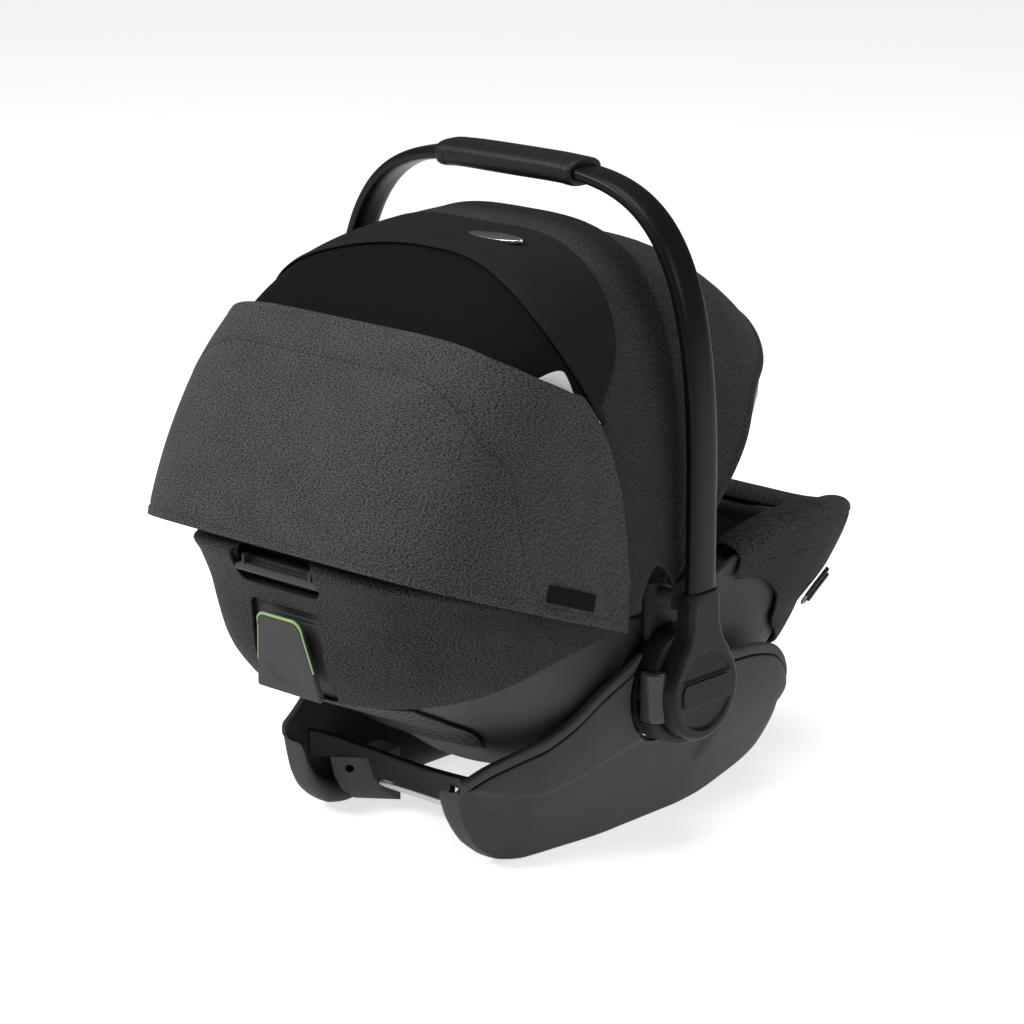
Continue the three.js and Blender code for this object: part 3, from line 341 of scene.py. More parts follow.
def sweep(name: str, path: Array, section: Array, up: Array, scale: Optional[Array] = None,
          crease: float = 38.0) -> bpy.types.Object:
    """Section carried along a path.

    Args:
        name: piece name.
        path: points of the middle line, (n, 3).
        section: closed outline, (m, 2): across the path, then along ``up``.
        up: direction of the section's second axis, one vector or one for each point.
        scale: size of the section for each point, (n,) or (n, 2).
        crease: shading angle.
    Returns:
        The closed solid.
    """
    tangent = unit(np.gradient(path, axis=0))
    up = np.broadcast_to(np.asarray(up, float), path.shape)
    side = unit(np.cross(tangent, up))
    rise = np.cross(side, tangent)
    size = np.ones((len(path), 2)) if scale is None else np.asarray(scale, float).reshape(len(path), -1)
    size = np.broadcast_to(size, (len(path), 2))
    a = section[None, :, 0] * size[:, :1]
    b = section[None, :, 1] * size[:, 1:]
    rings = path[:, None] + side[:, None] * a[..., None] + rise[:, None] * b[..., None]
    return loft(name, rings, crease)


def oval(width: float, height: float, count: int = 32, squareness: float = 0.8) -> Array:
    """Closed oval section; a squareness exponent below 1 squares it off."""
    t = np.linspace(0, 2 * math.pi, count, endpoint=False)
    return np.stack([width / 2 * signed_power(np.cos(t), squareness),
                    height / 2 * signed_power(np.sin(t), squareness)], 1)


def round_box(width: float, height: float, corner: float, count: int = 8) -> Array:
    """Rectangle outline with round corners, from quarter circles of ``count`` steps."""
    t = np.linspace(0, math.pi / 2, count)
    arcs = []
    for k, (sx, sy) in enumerate(((1, 1), (-1, 1), (-1, -1), (1, -1))):
        turn = t + k * math.pi / 2
        centre = np.array([sx * (width / 2 - corner), sy * (height / 2 - corner)])
        arcs.append(centre + corner * np.stack([np.cos(turn), np.sin(turn)], 1))
    return np.concatenate(arcs)


@dataclass(frozen=True)
class Plane:
    """Local axes for a plate: an origin, two directions in its face and the direction it faces."""

    origin: Tuple[float, float, float]
    across: Tuple[float, float, float]
    up: Tuple[float, float, float]

    @property
    def out(self) -> Array:
        """Direction the plate faces."""
        return unit(np.cross(np.array(self.across, float), np.array(self.up, float)))

    def place(self, flat: Array, height: Array) -> Array:
        """Point for a place in the face and a height above it."""
        a, b = unit(np.array(self.across, float)), unit(np.array(self.up, float))
        return (np.array(self.origin, float) + flat[..., :1] * a + flat[..., 1:2] * b
                + np.asarray(height)[..., None] * self.out)


def plate(name: str, plane: Plane, outline: Array, front: float, back: float, round_front: float,
          round_back: float = 0.4, relief: Optional[Callable[[Array], Array]] = None, levels: int = 26,
          centre: Tuple[float, float] = (0.0, 0.0), count: int = 180) -> bpy.types.Object:
    """Plate of any outline that can be seen whole from its centre, with rounded rims.

    Front height is front - r * (1 - sqrt(1 - (1 - d / r) squared)) + relief, d being the distance to the outline.

    Args:
        name: piece name.
        plane: where its face lies.
        outline: closed outline in the face, (n, 2).
        front: height of the front face above the plane.
        back: height of the back face.
        round_front: radius of the front rim.
        round_back: radius of the back rim.
        relief: added front height as a function of the place in the face.
        levels: rings from the middle to the rim.
        centre: point of the face that sees the whole outline.
        count: points round the outline.
    Returns:
        The closed plate.
    """
    ring = resample(np.concatenate([outline, outline[:1]]), count + 1)[:-1]
    rim = max(round_front, round_back, 0.5)
    reach = np.linalg.norm(ring - np.array(centre), axis=1).mean()
    close = max(0.5, 1 - 1.3 * rim / reach)
    s = np.concatenate([np.linspace(0.02, close, levels), close + (1 - close)
                       * np.sin(np.linspace(0.12, 1, 9) * math.pi / 2)])
    flat = np.array(centre) + s[:, None, None] * (ring - np.array(centre))
    d = distance_to_path(flat, np.concatenate([ring, ring[:1]]))
    d[-1] = 0

    def dome(radius: float) -> Array:
        """Drop of the face towards the rim for one radius."""
        return radius * (1 - np.sqrt(np.maximum(0, 1 - (1 - np.clip(d / radius, 0, 1)) ** 2)))

    top = front - dome(round_front)
    if relief is not None:
        top = top + relief(flat)
    low = back + dome(round_back)
    rings = np.concatenate([plane.place(flat, top), plane.place(flat[::-1], low[::-1])])
    return loft(name, rings)


def lathe_x(name: str, profile: Sequence[Tuple[float, float]],
            y: float, z: float, sides: int = 96) -> bpy.types.Object:
    """Solid of revolution about an axis along X; the profile is pairs of radius and X from pole to pole."""
    turn = np.linspace(0, 2 * math.pi, sides, endpoint=False)
    r, x = np.array(profile, float).T
    r = np.maximum(r, 0.02)
    rings = np.stack([np.broadcast_to(x[:, None], (len(x), sides)), y + r[:, None] * np.cos(turn),
                      z + r[:, None] * np.sin(turn)], -1)
    return loft(name, rings)


def mirror(points: Array, side: Side) -> Array:
    """Right-hand places for the right side, mirrored for the left."""
    return points * np.array([side.value, 1, 1])


def carve(piece: bpy.types.Object, *cutters: bpy.types.Object, crease: float = 38.0) -> None:
    """Cuts other solids out of a piece, for good, and removes them."""
    for cutter in cutters:
        cut = piece.modifiers.new("cut", "BOOLEAN")
        cut.operation, cut.object, cut.solver = "DIFFERENCE", cutter, "EXACT"
        bake(piece)
        bpy.data.objects.remove(cutter)
    finish_mesh(piece.data, crease)


def bake(piece: bpy.types.Object) -> None:
    """Makes the result of a piece's modifiers its mesh."""
    bpy.context.view_layer.update()
    evaluated = piece.evaluated_get(bpy.context.evaluated_depsgraph_get())
    mesh = bpy.data.meshes.new_from_object(evaluated)
    piece.modifiers.clear()
    piece.data = mesh


def stitches(name: str, path: Array, normal: Array, pitch: float = 3.6, length: float = 2.5,
             width: float = 0.55) -> bpy.types.Object:
    """Row of sewing stitches: small flattened beads laid end to end along a path.

    Args:
        name: piece name.
        path: line on the cloth, (n, 3).
        normal: direction out of the cloth for each point of the path.
        pitch: distance from stitch to stitch.
        length: length of one stitch.
        width: width of the thread.
    Returns:
        One mesh that holds the row.
    """
    total = np.linalg.norm(np.diff(path, axis=0), axis=1).sum()
    count = max(2, int(total / pitch))
    joined = resample(path, count)
    share = np.linspace(0, len(path) - 1, count)
    lift = unit(np.stack([np.interp(share, np.arange(len(path)), normal[:, k]) for k in range(3)], 1))
    way = unit(np.gradient(joined, axis=0))
    side = unit(np.cross(way, lift))
    t = np.array([-1.0, -0.6, 0.0, 0.6, 1.0])
    swell = np.sqrt(np.maximum(0.04, 1 - t**2))
    turn = np.linspace(0, 2 * math.pi, 6, endpoint=False)
    ring = (joined[:, None, None] + way[:, None, None] * (t * length / 2)[None, :, None, None]
            + side[:, None, None] * (np.cos(turn) * width / 2)[None, None,
                                     :, None] * swell[None, :, None, None]
            + lift[:, None, None] * (np.sin(turn) * width / 2)[None, None, :, None] * swell[None, :, None, None])
    faces: List[Sequence[int]] = []
    size = len(t) * len(turn)
    one = [*quads(len(t), len(turn), True), np.arange(6)[::-1], np.arange(6) + size - 6]
    for k in range(count):
        faces.extend(face + k * size for face in one)
    return put_mesh(name, ring.reshape(-1, 3), faces)


# ---------------------------------------------------------------- finishes


class Nodes:
    """Small helper that adds and joins the nodes of one material."""

    def __init__(self, name: str) -> None:
        """Starts an empty material with its output and a shader."""
        self.material = bpy.data.materials.new(name)
        self.material.use_nodes = True
        self.tree = self.material.node_tree
        self.tree.nodes.clear()
        self.output = self.add("ShaderNodeOutputMaterial")
        self.shader = self.add("ShaderNodeBsdfPrincipled")
        self.join(self.shader.outputs["BSDF"], self.output.inputs["Surface"])

    def add(self, kind: str, **settings: object) -> bpy.types.Node:
        """Adds a node; a setting names a property, or an input socket if there is no such property."""
        node = self.tree.nodes.new(kind)
        for key, value in settings.items():
            if hasattr(node, key):
                setattr(node, key, value)
            else:
                node.inputs[key.replace("_", " ")].default_value = value
        return node

    def join(self, source: bpy.types.NodeSocket, target: bpy.types.NodeSocket) -> None:
        """Joins two sockets."""
        self.tree.links.new(source, target)

    def place(self, flat: bool, scale: Tuple[float, float, float]) -> bpy.types.NodeSocket:
        """Pattern place: the cloth's own UV or the object's coordinates, times a scale."""
        source = self.add("ShaderNodeTexCoord")
        mapping = self.add("ShaderNodeMapping")
        mapping.inputs["Scale"].default_value = scale
        self.join(source.outputs["UV" if flat else "Object"], mapping.inputs["Vector"])
        return mapping.outputs["Vector"]

    def noise(self, place: bpy.types.NodeSocket, scale: float, detail: float = 2.0,
              roughness: float = 0.5) -> bpy.types.NodeSocket:
        """Soft noise at a place."""
        node = self.add("ShaderNodeTexNoise", Scale=scale, Detail=detail, Roughness=roughness)
        self.join(place, node.inputs["Vector"])
        return node.outputs["Fac"]

    def wave(self, place: bpy.types.NodeSocket, scale: float, direction: str) -> bpy.types.NodeSocket:
        """Parallel sine bands along one axis."""
        node = self.add("ShaderNodeTexWave", Scale=scale, Distortion=0.6)
        node.bands_direction = direction
        self.join(place, node.inputs["Vector"])
        return node.outputs["Fac"]

    def ramp(self, value: bpy.types.NodeSocket,
             low: Tuple[float, Colour], high: Tuple[float, Colour]) -> bpy.types.NodeSocket:
        """Colour that runs from one colour to another as a value rises."""
        node = self.add("ShaderNodeValToRGB")
        for element, (at, colour) in zip(node.color_ramp.elements, (low, high)):
            element.position = at
            element.color = (*colour, 1)
        self.join(value, node.inputs["Fac"])
        return node.outputs["Color"]

    def maths(self, operation: str, a: object, b: object) -> bpy.types.NodeSocket:
        """Sum, product or other simple operation on two sockets or numbers."""
        node = self.add("ShaderNodeMath", operation=operation)
        for socket, value in zip(node.inputs, (a, b)):
            if isinstance(value, (int, float)):
                socket.default_value = value
            else:
                self.join(value, socket)
        return node.outputs[0]

    def bump(self, height: bpy.types.NodeSocket, distance: float, strength: float = 1.0) -> None:
        """Raises the surface's grain by a height pattern."""
        node = self.add("ShaderNodeBump", Strength=strength, Distance=distance)
        self.join(height, node.inputs["Height"])
        self.join(node.outputs["Normal"], self.shader.inputs["Normal"])

    def set(self, **values: object) -> None:
        """Sets constant sockets of the shader."""
        for key, value in values.items():
            self.shader.inputs[key.replace("_", " ")].default_value = value


def grey(level: float, warm: float = 0.0) -> Colour:
    """Grey colour with a slight warm or cool shift."""
    return (level * (1 + warm), level, level * (1 - warm))


@dataclass(frozen=True)
class MelangeCloth:
    """Woven melange: dark and pale threads side by side, in short streaks along the weft."""

    name: str
    dark: float
    pale: float
    weft: float = 1.0
    warp: float = 2.3
    flat: bool = True

    def build(self) -> bpy.types.Material:
        """Makes the material: fleck noise stretched along the weft, slow mottling, and a fine weave bump."""
        n = Nodes(self.name)
        place = n.place(self.flat, (1000 / self.warp, 1000 / self.weft, 1000 / self.weft))
        fleck = n.noise(place, 1.0, 3.0, 0.65)
        fine = n.noise(n.place(self.flat, (1500, 1900, 1700)), 1.0, 1.0)
        slow = n.noise(n.place(self.flat, (22, 30, 26)), 1.0, 2.0)
        value = n.maths("ADD", n.maths("MULTIPLY", fleck, 0.8), n.maths("MULTIPLY", fine, 0.15))
        value = n.maths("ADD", value, n.maths("MULTIPLY", slow, 0.05))
        n.join(
    n.ramp(
        value, (0.4, grey(
            self.dark, 0.01)), (0.6, grey(
                self.pale, 0.01))), n.shader.inputs["Base Color"])
        weave = n.place(self.flat, (1000, 1000, 1000))
        height = n.maths("MULTIPLY", n.wave(weave, 0.36, "X"), n.wave(weave, 0.36, "Y"))
        n.bump(n.maths("ADD", height, fleck), 0.00015, 0.3)
        n.set(Roughness=0.95, Specular_IOR_Level=0.05, Sheen_Weight=0.04, Sheen_Roughness=0.5)
        return n.material


@dataclass(frozen=True)
class PlainCloth:
    """Plain dark cloth with a fine even weave and a little sheen."""

    name: str
    level: float
    thread: float = 0.9
    sheen: float = 0.03
    flat: bool = True

    def build(self) -> bpy.types.Material:
        """Makes the material: crossed sine threads for the bump and a faint thread-to-thread tone."""
        n = Nodes(self.name)
        weave = n.place(self.flat, (1000 / self.thread, 1000 / self.thread, 1000 / self.thread))
        height = n.maths("MULTIPLY", n.wave(weave, 0.33, "X"), n.wave(weave, 0.33, "Y"))
        tone = n.noise(weave, 0.8, 2.0)
        slow = n.noise(n.place(self.flat, (18, 18, 18)), 1.0, 2.0)
        value = n.maths("ADD", n.maths("MULTIPLY", tone, 0.7), n.maths("MULTIPLY", slow, 0.3))
        n.join(n.ramp(value, (0.3, grey(self.level * 0.72)),
               (0.7, grey(self.level * 1.3))), n.shader.inputs["Base Color"])
        n.bump(n.maths("ADD", height, tone), 0.0002, 0.6)
        n.set(Roughness=0.92, Specular_IOR_Level=0.06, Sheen_Weight=self.sheen, Sheen_Roughness=0.5)
        return n.material


@dataclass(frozen=True)
class NetCloth:
    """Ventilation net: rows of small dark holes between knitted threads."""

    name: str
    thread_level: float
    hole_level: float
    pitch: float = 2.0

    def build(self) -> bpy.types.Material:
        """Makes the material: a cell pattern on the flat cloth, dark in each cell's middle."""
        n = Nodes(self.name)
        cells = n.add("ShaderNodeTexVoronoi", Scale=1.0, Randomness=0.12)
        n.join(n.place(True, (1000 / self.pitch, 1150 / self.pitch, 1)), cells.inputs["Vector"])
        n.join(n.ramp(cells.outputs["Distance"], (0.25, grey(self.hole_level)), (0.55, grey(self.thread_level))),
               n.shader.inputs["Base Color"])
        n.bump(cells.outputs["Distance"], 0.0003, 0.7)
        n.set(Roughness=0.9, Specular_IOR_Level=0.06)
        return n.material


@dataclass(frozen=True)
class Moulded:
    """Moulded plastic or coated metal: fine grain, slow gloss variation and a slowly wandering tone."""

    name: str
    level: float
    roughness: float
    grain: float = 0.35
    depth: float = 0.00003
    metallic: float = 0.0
    tint: Colour = (1.0, 1.0, 1.0)
    coat: float = 0.0

    def build(self) -> bpy.types.Material:
        """Makes the material: grain bump, roughness that wanders by a few hundredths, and tone that wanders too."""
        n = Nodes(self.name)
        grain = n.noise(n.place(False, (1000 / self.grain,) * 3), 1.0, 2.0)
        slow = n.noise(n.place(False, (16, 16, 16)), 1.0, 3.0)
        low = tuple(self.level * 0.88 * c for c in self.tint)
        high = tuple(self.level * 1.12 * c for c in self.tint)
        n.join(n.ramp(slow, (0.3, low), (0.7, high)), n.shader.inputs["Base Color"])
        n.join(
    n.maths(
        "ADD",
        n.maths(
            "MULTIPLY",
            slow,
            0.1),
            self.roughness -
            0.05),
             n.shader.inputs["Roughness"])
        n.bump(grain, self.depth, 0.5)
        n.set(Metallic=self.metallic, Specular_IOR_Level=0.16, Coat_Weight=self.coat, Coat_Roughness=0.15)
        return n.material


@dataclass(frozen=True)
class Leather:
    """Soft grained leather: rounded pebbles with darker creases."""

    name: str
    level: float

    def build(self) -> bpy.types.Material:
        """Makes the material from a cell pattern about 1.6 mm across."""
        n = Nodes(self.name)
        cells = n.add("ShaderNodeTexVoronoi", feature="SMOOTH_F1", Scale=1.0, Smoothness=0.6)
        n.join(n.place(False, (620, 620, 620)), cells.inputs["Vector"])
        n.join(n.ramp(cells.outputs["Distance"], (0.1, grey(self.level * 1.25)), (0.7, grey(self.level * 0.7))),
               n.shader.inputs["Base Color"])
        height = n.maths("MULTIPLY", cells.outputs["Distance"], -1.0)
        n.bump(height, 0.00035, 0.6)
        n.set(Roughness=0.5, Specular_IOR_Level=0.25)
        return n.material


@dataclass(frozen=True)
class Webbing:
    """Harness webbing: tight ribs across the strap."""

    name: str
    level: float

    def build(self) -> bpy.types.Material:
        """Makes the material: ribs along the strap and a twill bump."""
        n = Nodes(self.name)
        place = n.place(True, (1000, 1000, 1000))
        ribs = n.maths(
    "ADD", n.wave(
        place, 0.28, "X"), n.maths(
            "MULTIPLY", n.wave(
                place, 0.45, "DIAGONAL"), 0.6))
        n.join(n.ramp(ribs, (0.1, grey(self.level * 0.6)),
               (1.0, grey(self.level * 1.5))), n.shader.inputs["Base Color"])
        n.bump(ribs, 0.0003, 0.8)
        n.set(Roughness=0.7, Specular_IOR_Level=0.35, Sheen_Weight=0.1)
        return n.material


@dataclass(frozen=True)
class Foam:
    """Moulded bead foam: packed round beads."""

    name: str
    level: float

    def build(self) -> bpy.types.Material:
        """Makes the material from a cell pattern about 4 mm across."""
        n = Nodes(self.name)
        cells = n.add("ShaderNodeTexVoronoi", Scale=1.0)
        n.join(n.place(False, (260, 260, 260)), cells.inputs["Vector"])
        n.join(n.ramp(cells.outputs["Distance"], (0.0, grey(self.level * 1.2)), (0.8, grey(self.level * 0.6))),
               n.shader.inputs["Base Color"])
        n.bump(cells.outputs["Distance"], 0.0006, 0.6)
        n.set(Roughness=0.85)
        return n.material


class Finish(Enum):
    """Every finish on the seat; each builds its material once."""

    FLAP = MelangeCloth("melange_flap", 0.003, 0.08)
    COVER = MelangeCloth("melange_cover", 0.002, 0.055)
    VISOR = MelangeCloth("melange_visor", 0.002, 0.048)
    HOOD = PlainCloth("plain_hood_cloth", 0.0085)
    BINDING = PlainCloth("binding_tape", 0.010, 0.7)
    NET = NetCloth("window_net", 0.0075, 0.002)
    LINING = PlainCloth("knitted_lining", 0.012, 1.3, 0.05, False)
    THREAD = PlainCloth("sewing_thread", 0.006, 0.3, 0.1, False)
    SHELL = Moulded("shell_plastic", 0.007, 0.42)
    BASE = Moulded("base_plastic", 0.0095, 0.46)
    BASE_DARK = Moulded("base_inner_plastic", 0.004, 0.5)
    HANDLE = Moulded("handle_coating", 0.003, 0.36, 0.25, 0.00002)
    HUB = Moulded("hub_plastic", 0.0075, 0.42)
    BUTTON = Moulded("button_plastic", 0.024, 0.25, 0.4, 0.00001, 0.0, (1.0, 1.0, 1.02), 0.4)
    GREEN = Moulded("green_line_plastic", 0.42, 0.5, 0.3, 0.00001, 0.0, (0.62, 1.0, 0.42))
    RED = Moulded("red_button_plastic", 0.4, 0.3, 0.4, 0.00001, 0.0, (1.0, 0.05, 0.04), 0.3)
    PALE = PlainCloth("pale_tape", 0.62, 0.7)
    LABEL = PlainCloth("woven_label", 0.0035, 0.5)
    METAL = Moulded("bright_trim", 0.75, 0.18, 0.5, 0.00001, 1.0)
    STEEL = Moulded("drawn_steel", 0.5, 0.3, 0.3, 0.00001, 1.0)
    LEATHER = Leather("grained_leather", 0.004)
    WEBBING = Webbing("harness_webbing", 0.01)
    FOAM = Foam("bead_foam", 0.05)

    @property
    def material(self) -> bpy.types.Material:
        """The material of this finish, made on first use."""
        found = bpy.data.materials.get(self.value.name)
        return found or self.value.build()


def dress(piece: bpy.types.Object, finish: Finish, body: str, slot: str, *replaced: str) -> bpy.types.Object:
    """Gives a piece its material and body, and says which CAD nodes it stands for.

    Args:
        piece: finished object.
        finish: its finish.
        body: CAD body that it rides on.
        slot: the record's material slot; not used.
        replaced: CAD nodes it replaces.
    Returns:
        The same object.
    """
    piece.data.materials.clear()
    piece.data.materials.append(finish.material)
    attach(piece, body)
    if replaced:
        piece.name = replaced[0] + "_fine"
        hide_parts(*replaced)
    LOG.info("%s: %d faces on %s", piece.name, len(piece.data.polygons), body)
    return piece


def declare_sheet(middle: Array) -> None:
    """Measures a sheet's flat cut along its middle surface: its area, width and length, which are not used further.

    Args:
        middle: its grid of middle points, in millimetres.
    """
    across = np.linalg.norm(np.diff(middle, axis=1), axis=-1)
    down = np.linalg.norm(np.diff(middle, axis=0), axis=-1)
    area = float((across[:-1] * down[:, :-1]).sum()) * 1e-6
    width, length = across.sum(1).max() * 1e-3, down.sum(0).max() * 1e-3
    area = float(np.clip(area, 0.31 * width * length, width * length))


# ---------------------------------------------------------------- shell and covers


@dataclass
class Bucket:
    """Outline of the seat's shell by height, and everything that follows it."""

    floor: float = 58.0
    half: Table = ((58, 84), (72, 116), (95, 144), (125, 158), (160, 165), (205, 166), (240, 171), (300, 176))
    rear: Table = ((58, 84), (72, 102), (93, 135), (117, 165), (140, 214), (168, 266), (207, 282), (240, 284),
                   (270, 293), (288, 302), (300, 297))
    front: Table = ((58, 170), (72, 212), (90, 246), (105, 276),
                    (131, 312), (165, 336), (200, 342), (260, 338))
    square: Table = ((58, 2.3), (150, 2.3), (190, 2.8), (230, 3.2), (300, 3.6))
    front_square: Table = ((58, 2.3), (150, 2.3), (190, 3.3), (230, 4.4), (300, 4.8))
    rim: Table = ((-342, 214), (-311, 235), (-272, 246), (-219, 255), (-175, 253), (-117, 240), (-60, 218), (0, 205),
                  (60, 213), (120, 233), (200, 262), (260, 284), (300, 297))

    def point(self, turn: Array, rise: Array, inset: Array) -> Array:
        """Point on the bucket.

        At each height the outline is a superellipse with its own half width, reach to each end and squareness.

        Args:
            turn: degrees round from +X towards the head end.
            rise: share of the height from the floor (0) to the rim (1).
            inset: distance inward from the shell's outer face.
        Returns:
            Points in hub millimetres.
        """
        turn, rise, inset = np.broadcast_arrays(np.asarray(turn, float), rise, inset)
        c, s = np.cos(np.radians(turn)), np.sin(np.radians(turn))

        def outline(z: Array) -> Tuple[Array, Array]:
            """X and Y of the outline at a height."""
            ahead = smoothstep(-s, 0, 0.35)
            exponent = 2 / mix(along(self.square, z), along(self.front_square, z), ahead)
            reach = np.where(s >= 0, along(self.rear, z), along(self.front, z)) - inset
            return signed_power(c, exponent) * (along(self.half, z) - \
                                inset), signed_power(s, exponent) * reach

        rim = along(self.rim, outline(np.full(turn.shape, 250.0))[1] + np.sign(s) * inset)
        z = mix(self.floor, rim, rise)
        x, y = outline(z)
        return np.stack([x, y, z + inset * (1 - rise)], -1)

    def rear_face(self, x: Array, z: Array, inset: float) -> Array:
        """Point of the head end's outer face at a given X and Z, from the same superellipse."""
        exponent = 2 / along(self.square, z)
        c = np.clip(np.abs(x) / (along(self.half, z) - inset), 0, 1) ** (1 / exponent)
        y = np.sqrt(1 - c**2) ** exponent * (along(self.rear, z) - inset)
        return np.stack(np.broadcast_arrays(x, y, z), -1)

    def depth(self, points: Array) -> Array:
        """Rough distance inward from the shell's outer face to a point inside the bucket."""
        x, y, z = np.moveaxis(points, -1, 0)
        n = mix(along(self.square, z), along(self.front_square, z), smoothstep(-y, 0, 110))
        reach = np.where(y >= 0, along(self.rear, z), along(self.front, z))
        level = ((np.abs(x) / along(self.half, z)) ** n + (np.abs(y) / reach) ** n) ** (1 / n)
        return np.minimum(np.hypot(x, y) * (1 / np.maximum(level, 0.05) - 1), z - self.floor)

    def shell(self) -> bpy.types.Object:
        """Moulded shell: outer face, a rounded rim, the inner face and a rounded floor."""
        turn = np.linspace(0, 360, 192, endpoint=False)[None]
        wall, lip = 5.0, 2.5
        rise = np.concatenate([[0.0, 0.004, 0.02], np.linspace(0.05, 0.99, 44)])[:, None]
        over = np.linspace(0, math.pi, 9)[:, None]
        inset = np.concatenate([np.zeros_like(rise), lip - lip * np.cos(over), np.full_like(rise, wall)])
        rises = np.concatenate([rise, 0.995 + 0.005 * np.sin(over), rise[::-1]])
        rings = self.point(turn, rises, inset)
        return loft("seat_shell", rings, 50)


@dataclass
class Covers:
    """Fabric that wraps the shell at the head end and the foot end, with a soft roll over the rim."""

    bucket: Bucket
    gap: float = 4.5
    thickness: float = 2.6
    roll: float = 31.0
    slot_half: float = 50.0
    slot_low: float = 262.0
    slot_high: float = 296.0

    def surface(self, start: float, stop: float, low: Callable[[Array], Array], rows: int = 64, columns: int = 150,
                crown: float = 8.0) -> Array:
        """Middle surface: up the outside of the shell, then over the rim in a half oval to the inside.

        Args:
            start: first turn, degrees.
            stop: last turn.
            low: rise of the lower edge as a function of the turn.
            rows: steps up.
            columns: steps round.
            crown: height of the roll above the rim.
        Returns:
            Grid of points.
        """
        turn = mix(start, stop, edge_dense(columns, 0.01))[None]
        t = edge_dense(rows, 0.01)[:, None]
        wall = np.clip(t / 0.72, 0, 1)
        bend = np.clip((t - 0.72) / 0.28, 0, 1) * math.pi
        inset = -self.gap + (self.roll / 2) * (1 - np.cos(bend))
        rise = mix(low(turn), 0.985, wall)
        points = self.bucket.point(turn, rise, inset)
        points[..., 2] += crown * np.sin(bend)
        return points

    def seam(self, points: Array, path: Array, depth: float = 1.1,
             width: float = 1.6, pucker: float = 0.35) -> Array:
        """Presses a sewn seam into a sheet: a narrow valley along a path with small puckers beside it."""
        d = distance_to_path(points, path)
        valley = depth * np.exp(-((d / width) ** 2))
        wrinkle = pucker * np.exp(-((d / 9) ** 2)) * ripple(points, 16, 5)
        return points - grid_normals(points) * (valley + wrinkle)[..., None] * self.facing(points)

    @staticmethod
    def facing(points: Array) -> float:
        """Sign that turns the grid's normals away from the middle of the seat."""
        normals = grid_normals(points)
        away = points - np.array([0, 0, 210.0])
        return float(np.sign((normals * away).sum(-1).mean()))

    def head_end(self) -> None:
        """Cover round the head end, with its belt slot and the window for the release handle's housing."""
        points = self.surface(6, 174, lambda turn: 0.46 + 0.44 * np.abs((turn - 90) / 82) ** 3)
        points = points + grid_normals(points) * (0.5 * ripple(points, 150, 3))[..., None]
        piece = skin("head_cover", points, self.thickness)
        low, high = Frame.node("release_housing")
        window = cutter(high[0] - low[0] + 1.5, high[2] - low[2] + 1.5, 7, (low[2] + high[2]) / 2)
        slot = cutter(
    2 * self.slot_half,
    self.slot_high - self.slot_low,
    11,
     (self.slot_low + self.slot_high) / 2)
        carve(piece, window, slot, crease=60)
        dress(piece, Finish.COVER, "seat", "fabric", "shell_cover")
        declare_sheet(points)

    def foot_end(self) -> None:
        """Cover round the foot end: side seams that run down and forward, and a padded roll over the rim."""
        points = self.surface(187, 353, lambda turn: 0.24 + 0.5 * \
                              np.abs((turn - 270) / 76) ** 3, 76, 170, 11.0)
        for sign in (-1, 1):
            turn = 270 + sign * np.array([80, 70, 62, 56, 50, 46, 44, 43])
            rise = np.array([0.9, 0.84, 0.8, 0.84, 0.92, 0.97, 1.0, 1.0])
            points = self.seam(points, self.bucket.point(turn, rise, -self.gap))
            turn = 270 + sign * np.array([43, 40, 36, 33, 32])
            rise = np.array([1.0, 0.9, 0.7, 0.5, 0.36])
            points = self.seam(points, self.bucket.point(turn, rise, -self.gap), 1.2)
            turn = 270 + sign * np.linspace(78, 8, 20)
            points = self.seam(points, self.bucket.point(turn, 0.955 + 0 * turn, -self.gap), 0.9, 1.4)
        points = points + grid_normals(points) * (0.7 * ripple(points, 120, 11))[..., None]
        piece = skin("foot_cover", points, self.thickness)
        dress(piece, Finish.COVER, "seat", "fabric", "foot_cover")
        declare_sheet(points)

    def build(self) -> None:
        """Shell and both covers."""
        shell = self.bucket.shell()
        low, high = Frame.node("release_housing")
        window = cutter(high[0] - low[0] + 0.4, high[2] - low[2] + 0.4, 6, (low[2] + high[2]) / 2)
        slot = cutter(
    2 * self.slot_half,
    self.slot_high - self.slot_low,
    10,
     (self.slot_low + self.slot_high) / 2)
        carve(shell, window, slot, crease=50)
        dress(shell, Finish.SHELL, "seat", "shell_plastic", "seat_shell")
        self.head_end()
        self.foot_end()


def cutter(width: float, height: float, corner: float, z: float) -> bpy.types.Object:
    """Long block with round corners that cuts an opening through the head end at a height."""
    plane = Plane((0, 200, z), (1, 0, 0), (0, 0, 1))
    outline = round_box(width, height, corner)
    rings = np.stack([plane.place(outline, np.full(len(outline), depth)) for depth in (30.0, -230.0)])
    return loft("cutter", rings)


# ---------------------------------------------------------------- canopy


